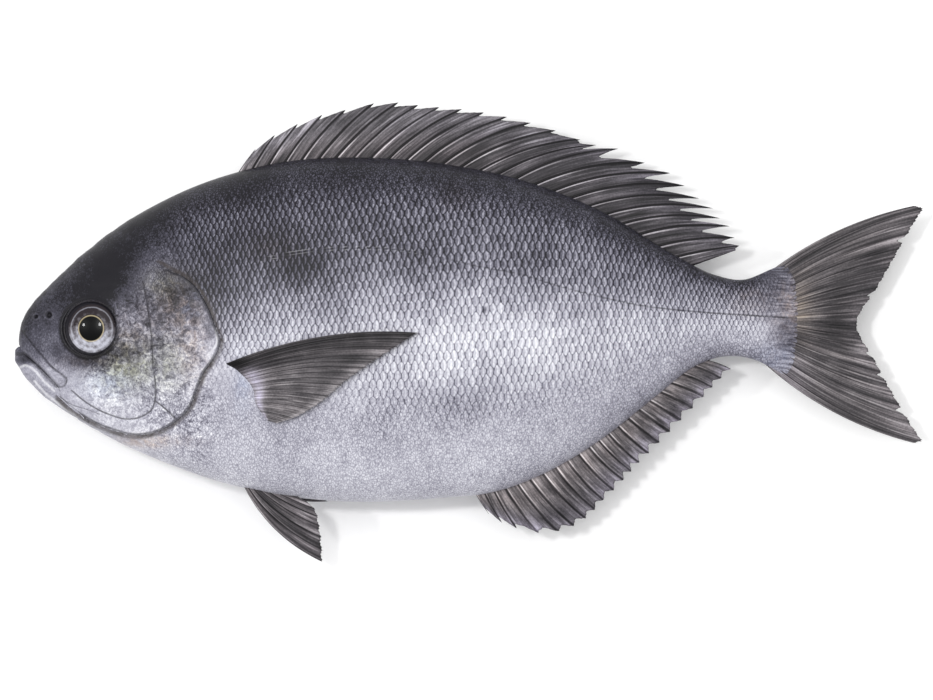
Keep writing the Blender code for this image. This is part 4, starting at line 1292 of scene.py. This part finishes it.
def eye_finish(colours):
    """Fish eye under a wet clear cornea: black pupil, a thin gold ring and a silver iris."""
    finish, tree = new_finish("wet_eye_with_silver_iris")
    x, y, _ = stored(tree, "iris")
    x = add(tree, "Math", x, PUPIL_OFF_POLE_MM, operation="SUBTRACT")
    flat = add(tree, "CombineXYZ", x, y, 0.0)
    radius = add(tree, "VectorMath", flat, operation="LENGTH", out=1)
    mottle = add(tree, "TexNoise", flat, None, 1 / 2.6, 4.0, 0.65)
    fibres = add(tree, "TexNoise", flat, None, 1 / 0.5, 2.0, 0.5)
    wavy = add(tree, "Math", mottle, 0.7, -0.35, operation="MULTIPLY_ADD")
    wavy = add(tree, "Math", wavy, radius, operation="ADD")
    low = add(tree, "MapRange", y, 7.0, -7.0, 0.0, 0.7, **SMOOTH)
    light = add(tree, "Math", mottle, 1.3, low, operation="MULTIPLY_ADD")
    light = add(tree, "Math", fibres, 0.14, light, operation="MULTIPLY_ADD")
    # Rings of paler and darker silver round the pupil
    out = add(tree, "Math", wavy, 0.1, operation="MULTIPLY")
    bands = add(tree, "ValToRGB", out, stops=(
        (0.57, (0.3,) * 3), (0.66, (0.75,) * 3), (0.8, (0.3,) * 3), (0.93, (0.65,) * 3),
        (1.0, (0.3,) * 3)))
    light = add(tree, "Math", bands, 0.5, light, operation="MULTIPLY_ADD")
    light = add(tree, "Math", light, 0.95, operation="SUBTRACT")
    iris = add(tree, "ValToRGB", light, stops=(
        (0.1, colours.iris_dark), (0.45, colours.iris_brown), (0.85, colours.iris_silver)))
    ring = add(tree, "MapRange", radius, 5.2, 5.75, 0.0, 1.0, **SMOOTH)
    gold = add(tree, "MapRange", radius, 5.6, 6.1, 0.7, 0.0, **SMOOTH)
    faint = add(tree, "MapRange", wavy, 8.9, 9.3, 0.0, 0.35, **SMOOTH)
    faint_end = add(tree, "MapRange", wavy, 9.3, 9.8, 1.0, 0.0, **SMOOTH)
    faint = add(tree, "Math", faint, faint_end, operation="MULTIPLY")
    outer = add(tree, "MapRange", radius, 10.3, 10.8, 0.0, 0.95, **SMOOTH)
    for share, tint in (
        (faint, colours.iris_silver), (gold, colours.iris_gold), (outer, colours.skin_black),
    ):
        iris = add(tree, "Mix", data_type="RGBA", out=2, sockets={
            0: share, 6: iris, 7: (*tint, 1)})
    colour = add(tree, "Mix", data_type="RGBA", out=2, sockets={
        0: ring, 6: (*colours.pupil, 1), 7: iris})
    shader = add(tree, "BsdfPrincipled", sockets={
        "Base Color": colour, "Roughness": 0.3, "IOR": 1.38, "Specular IOR Level": 0.08,
        "Coat Weight": 0.17, "Coat Roughness": 0.03, "Coat IOR": 1.35,
    })
    add(tree, "OutputMaterial", shader)
    return finish


def floor_finish(colours):
    """Matt white paper, plain but for a faint unevenness."""
    finish, tree = new_finish("matt_white_paper")
    place = add(tree, "TexCoord", out=3)
    cloud = add(tree, "TexNoise", place, None, 1000 / 400.0, 2.0)
    rough = add(tree, "MapRange", cloud, 0.3, 0.7, 0.8, 0.9)
    shader = add(tree, "BsdfPrincipled", sockets={
        "Base Color": (*colours.floor, 1), "Roughness": rough, "Specular IOR Level": 0.1,
    })
    add(tree, "OutputMaterial", shader)
    return finish


def make_floor(finish):
    bpy.ops.object.select_all(action="DESELECT")
    bpy.ops.mesh.primitive_plane_add(size=FLOOR_SIZE, location=(0, 0, -FLOOR_GAP))
    floor = bpy.context.object
    floor.name = floor.data.name = "paper_floor"
    bpy.ops.object.transform_apply(location=True, rotation=False, scale=False)
    floor.data.materials.append(finish)


def make_light(name, place, size, power):
    """A square softbox at a place, aimed at the fish."""
    bpy.ops.object.light_add(type="AREA", location=place)
    lamp = bpy.context.object
    lamp.name = name
    lamp.data.shape = "SQUARE"
    lamp.data.size = size
    lamp.data.energy = power
    lamp.rotation_euler = (-Vector(place)).to_track_quat("-Z", "Y").to_euler()


def make_camera():
    """Straight down on the fish, as far off as gives the photograph's width of view."""
    bpy.ops.object.camera_add(location=(VIEW_CENTRE[0], VIEW_CENTRE[1], VIEW_HEIGHT))
    camera = bpy.context.object
    camera.name = "camera"
    camera.data.lens = CAMERA_LENS
    camera.data.sensor_width = CAMERA_SENSOR
    bpy.context.scene.camera = camera


def make_sky(strength):
    world = bpy.data.worlds.new("soft_white_surround")
    world.use_nodes = True
    background = world.node_tree.nodes["Background"]
    background.inputs["Color"].default_value = (1, 1, 1, 1)
    background.inputs["Strength"].default_value = strength
    bpy.context.scene.world = world


def colour_property(name, description, code):
    return bpy.props.FloatVectorProperty(
        name=name, description=description, subtype="COLOR", size=3, min=0, max=1,
        default=linear(code),
    )


class FISH_PG_sizes(bpy.types.PropertyGroup):
    scale_relief: bpy.props.FloatProperty(
        name="Scale relief", description="How far each scale's free edge stands up",
        default=0.14 * MM, min=0, max=MM, subtype="DISTANCE", unit="LENGTH", precision=5)
    gill_lift: bpy.props.FloatProperty(
        name="Gill cover lift", description="How far the gill cover's free edge stands off",
        default=1.3 * MM, min=0, max=5 * MM, subtype="DISTANCE", unit="LENGTH", precision=5)


class FISH_PG_colours(bpy.types.PropertyGroup):
    # The darkest skin also gives the painted shade in the head's grooves and gaps
    skin_black: colour_property("Darkest skin", "Crown, lines and lips", "#1a191e")
    skin_slate: colour_property("Slate back", "The back of the fish", "#45444f")
    skin_grey: colour_property("Grey skin", "Upper flank", "#6c6b77")
    skin_pale: colour_property("Pale grey skin", "Lower flank in shade", "#9d9ca8")
    skin_silver: colour_property("Silver skin", "Scales of the flank", "#c3c3cc")
    skin_white: colour_property("Whitest skin", "Belly and streaks", "#ededf0")
    cast_brown: colour_property("Brown cast", "Stains on cover, fins and back", "#e6cbb0")
    cast_olive: colour_property("Olive cast", "Stain of the cheek", "#d6dab4")
    cast_blue: colour_property("Blue cast", "Sheen of cheek and tail base", "#bcd2f0")
    # Colour of the painted shadow behind the gill cover's free edge
    gill_shadow: colour_property("Gill strip", "Soft edge behind the gill cover", "#3a3433")
    fin_black: colour_property("Darkest fin", "Folds and roots of the fins", "#131214")
    fin_dark: colour_property("Dark fin", "Membrane of the fins", "#3a383b")
    fin_grey: colour_property("Grey fin", "Worn membrane", "#636063")
    fin_pale: colour_property("Pale fin", "Streaks along the rays", "#a3a0a3")
    fin_violet: colour_property("Violet fin edge", "Thin see-through edge", "#cfc6ea")
    fin_sheath: colour_property("Scaly fin sheath", "Scales on the tail's root", "#eadfca")
    iris_dark: colour_property("Dark iris", "Upper part of the iris", "#2b2629")
    iris_brown: colour_property("Brown iris", "Middle of the iris", "#67646a")
    iris_silver: colour_property("Silver iris", "Lower part of the iris", "#b4b5c0")
    iris_gold: colour_property("Gold ring", "Ring round the pupil", "#c4b692")
    pupil: colour_property("Pupil", "Middle of the eye", "#050506")
    floor: colour_property("Floor", "Paper under the fish", "#fbfbfb")


def skin_of(context):
    """The skin's finish, made by the first operator that needs it."""
    return bpy.data.materials.get(SKIN_NAME) or skin_finish(context.scene.fish_colours)


class FISH_OT_trunk(bpy.types.Operator):
    """Both scaled flanks, from behind the head to the tail"""
    bl_idname = "fish.trunk"
    bl_label = "Trunk"

    def execute(self, context):
        finish = skin_of(context)
        for side in SIDES:
            make_trunk(side, finish, context.scene.fish_sizes)
        return {"FINISHED"}


class FISH_OT_head(bpy.types.Operator):
    """Skull and lower jaw"""
    bl_idname = "fish.head"
    bl_label = "Head"

    def execute(self, context):
        make_head(skin_of(context))
        return {"FINISHED"}


class FISH_OT_covers(bpy.types.Operator):
    """Gill covers and the straps of the upper jaw"""
    bl_idname = "fish.covers"
    bl_label = "Gill covers and lips"

    def execute(self, context):
        finish = skin_of(context)
        for side in SIDES:
            make_gill_cover(side, finish, context.scene.fish_sizes)
            make_lip_strap(side, finish)
        return {"FINISHED"}


class FISH_OT_eyes(bpy.types.Operator):
    """Both eyes and the skin rings round them"""
    bl_idname = "fish.eyes"
    bl_label = "Eyes"

    def execute(self, context):
        skin = skin_of(context)
        finish = eye_finish(context.scene.fish_colours)
        for side in SIDES:
            make_eye(side, finish)
            make_eye_rim(side, skin)
        return {"FINISHED"}


class FISH_OT_middle_fins(bpy.types.Operator):
    """Dorsal, anal and tail fins"""
    bl_idname = "fish.middle_fins"
    bl_label = "Dorsal, anal and tail fins"

    def execute(self, context):
        colours = context.scene.fish_colours
        make_dorsal_fin(fin_finish("spiny_fin_skin", colours, 1.0, 4.0, 0.7, 0.8))
        make_anal_fin(fin_finish("soft_fin_skin", colours, 0.8, 3.5, 0.6, 0.7))
        make_tail_fin(fin_finish("tail_fin_skin", colours, 0.3, 3.2, 0.75, 1.2))
        return {"FINISHED"}


class FISH_OT_paired_fins(bpy.types.Operator):
    """Pectoral and pelvic fins"""
    bl_idname = "fish.paired_fins"
    bl_label = "Pectoral and pelvic fins"

    def execute(self, context):
        colours = context.scene.fish_colours
        pectoral = fin_finish("pectoral_fin_skin", colours, 0.35, 1.8, 0.6, 1.2)
        pelvic = fin_finish("pelvic_fin_skin", colours, 0.6, 2.0, 0.8, 1.2)
        for side in SIDES:
            make_pectoral_fin(side, pectoral)
            make_pelvic_fin(side, pelvic)
        return {"FINISHED"}


class FISH_OT_stage(bpy.types.Operator):
    """Paper floor, lights and camera"""
    bl_idname = "fish.stage"
    bl_label = "Stage"

    def execute(self, context):
        make_floor(floor_finish(context.scene.fish_colours))
        make_sky(SKY_STRENGTH)
        for name, place, size, power in LIGHTS:
            make_light(name, place, size, power)
        make_camera()
        context.scene.view_settings.view_transform = "Standard"
        return {"FINISHED"}


class FISH_PT_panel(bpy.types.Panel):
    bl_idname = "FISH_PT_panel"
    bl_label = "Whole raw fish"
    bl_space_type = "VIEW_3D"
    bl_region_type = "UI"
    bl_category = "Fish"

    def draw(self, context):
        for group in (context.scene.fish_sizes, context.scene.fish_colours):
            for name in group.bl_rna.properties.keys():
                if name not in ("rna_type", "name"):
                    self.layout.prop(group, name)
        for operator in OPERATORS:
            self.layout.operator(operator.bl_idname)


OPERATORS = (
    FISH_OT_trunk, FISH_OT_head, FISH_OT_covers, FISH_OT_eyes, FISH_OT_middle_fins,
    FISH_OT_paired_fins, FISH_OT_stage,
)
CLASSES = (FISH_PG_sizes, FISH_PG_colours, *OPERATORS, FISH_PT_panel)


def register():
    for kind in CLASSES:
        bpy.utils.register_class(kind)
    bpy.types.Scene.fish_sizes = bpy.props.PointerProperty(type=FISH_PG_sizes)
    bpy.types.Scene.fish_colours = bpy.props.PointerProperty(type=FISH_PG_colours)


def unregister():
    del bpy.types.Scene.fish_colours
    del bpy.types.Scene.fish_sizes
    for kind in reversed(CLASSES):
        bpy.utils.unregister_class(kind)


def main():
    register()
    bpy.ops.fish.trunk()
    bpy.ops.fish.head()
    bpy.ops.fish.covers()
    bpy.ops.fish.eyes()
    bpy.ops.fish.middle_fins()
    bpy.ops.fish.paired_fins()
    bpy.ops.fish.stage()


if __name__ == "__main__":
    main()
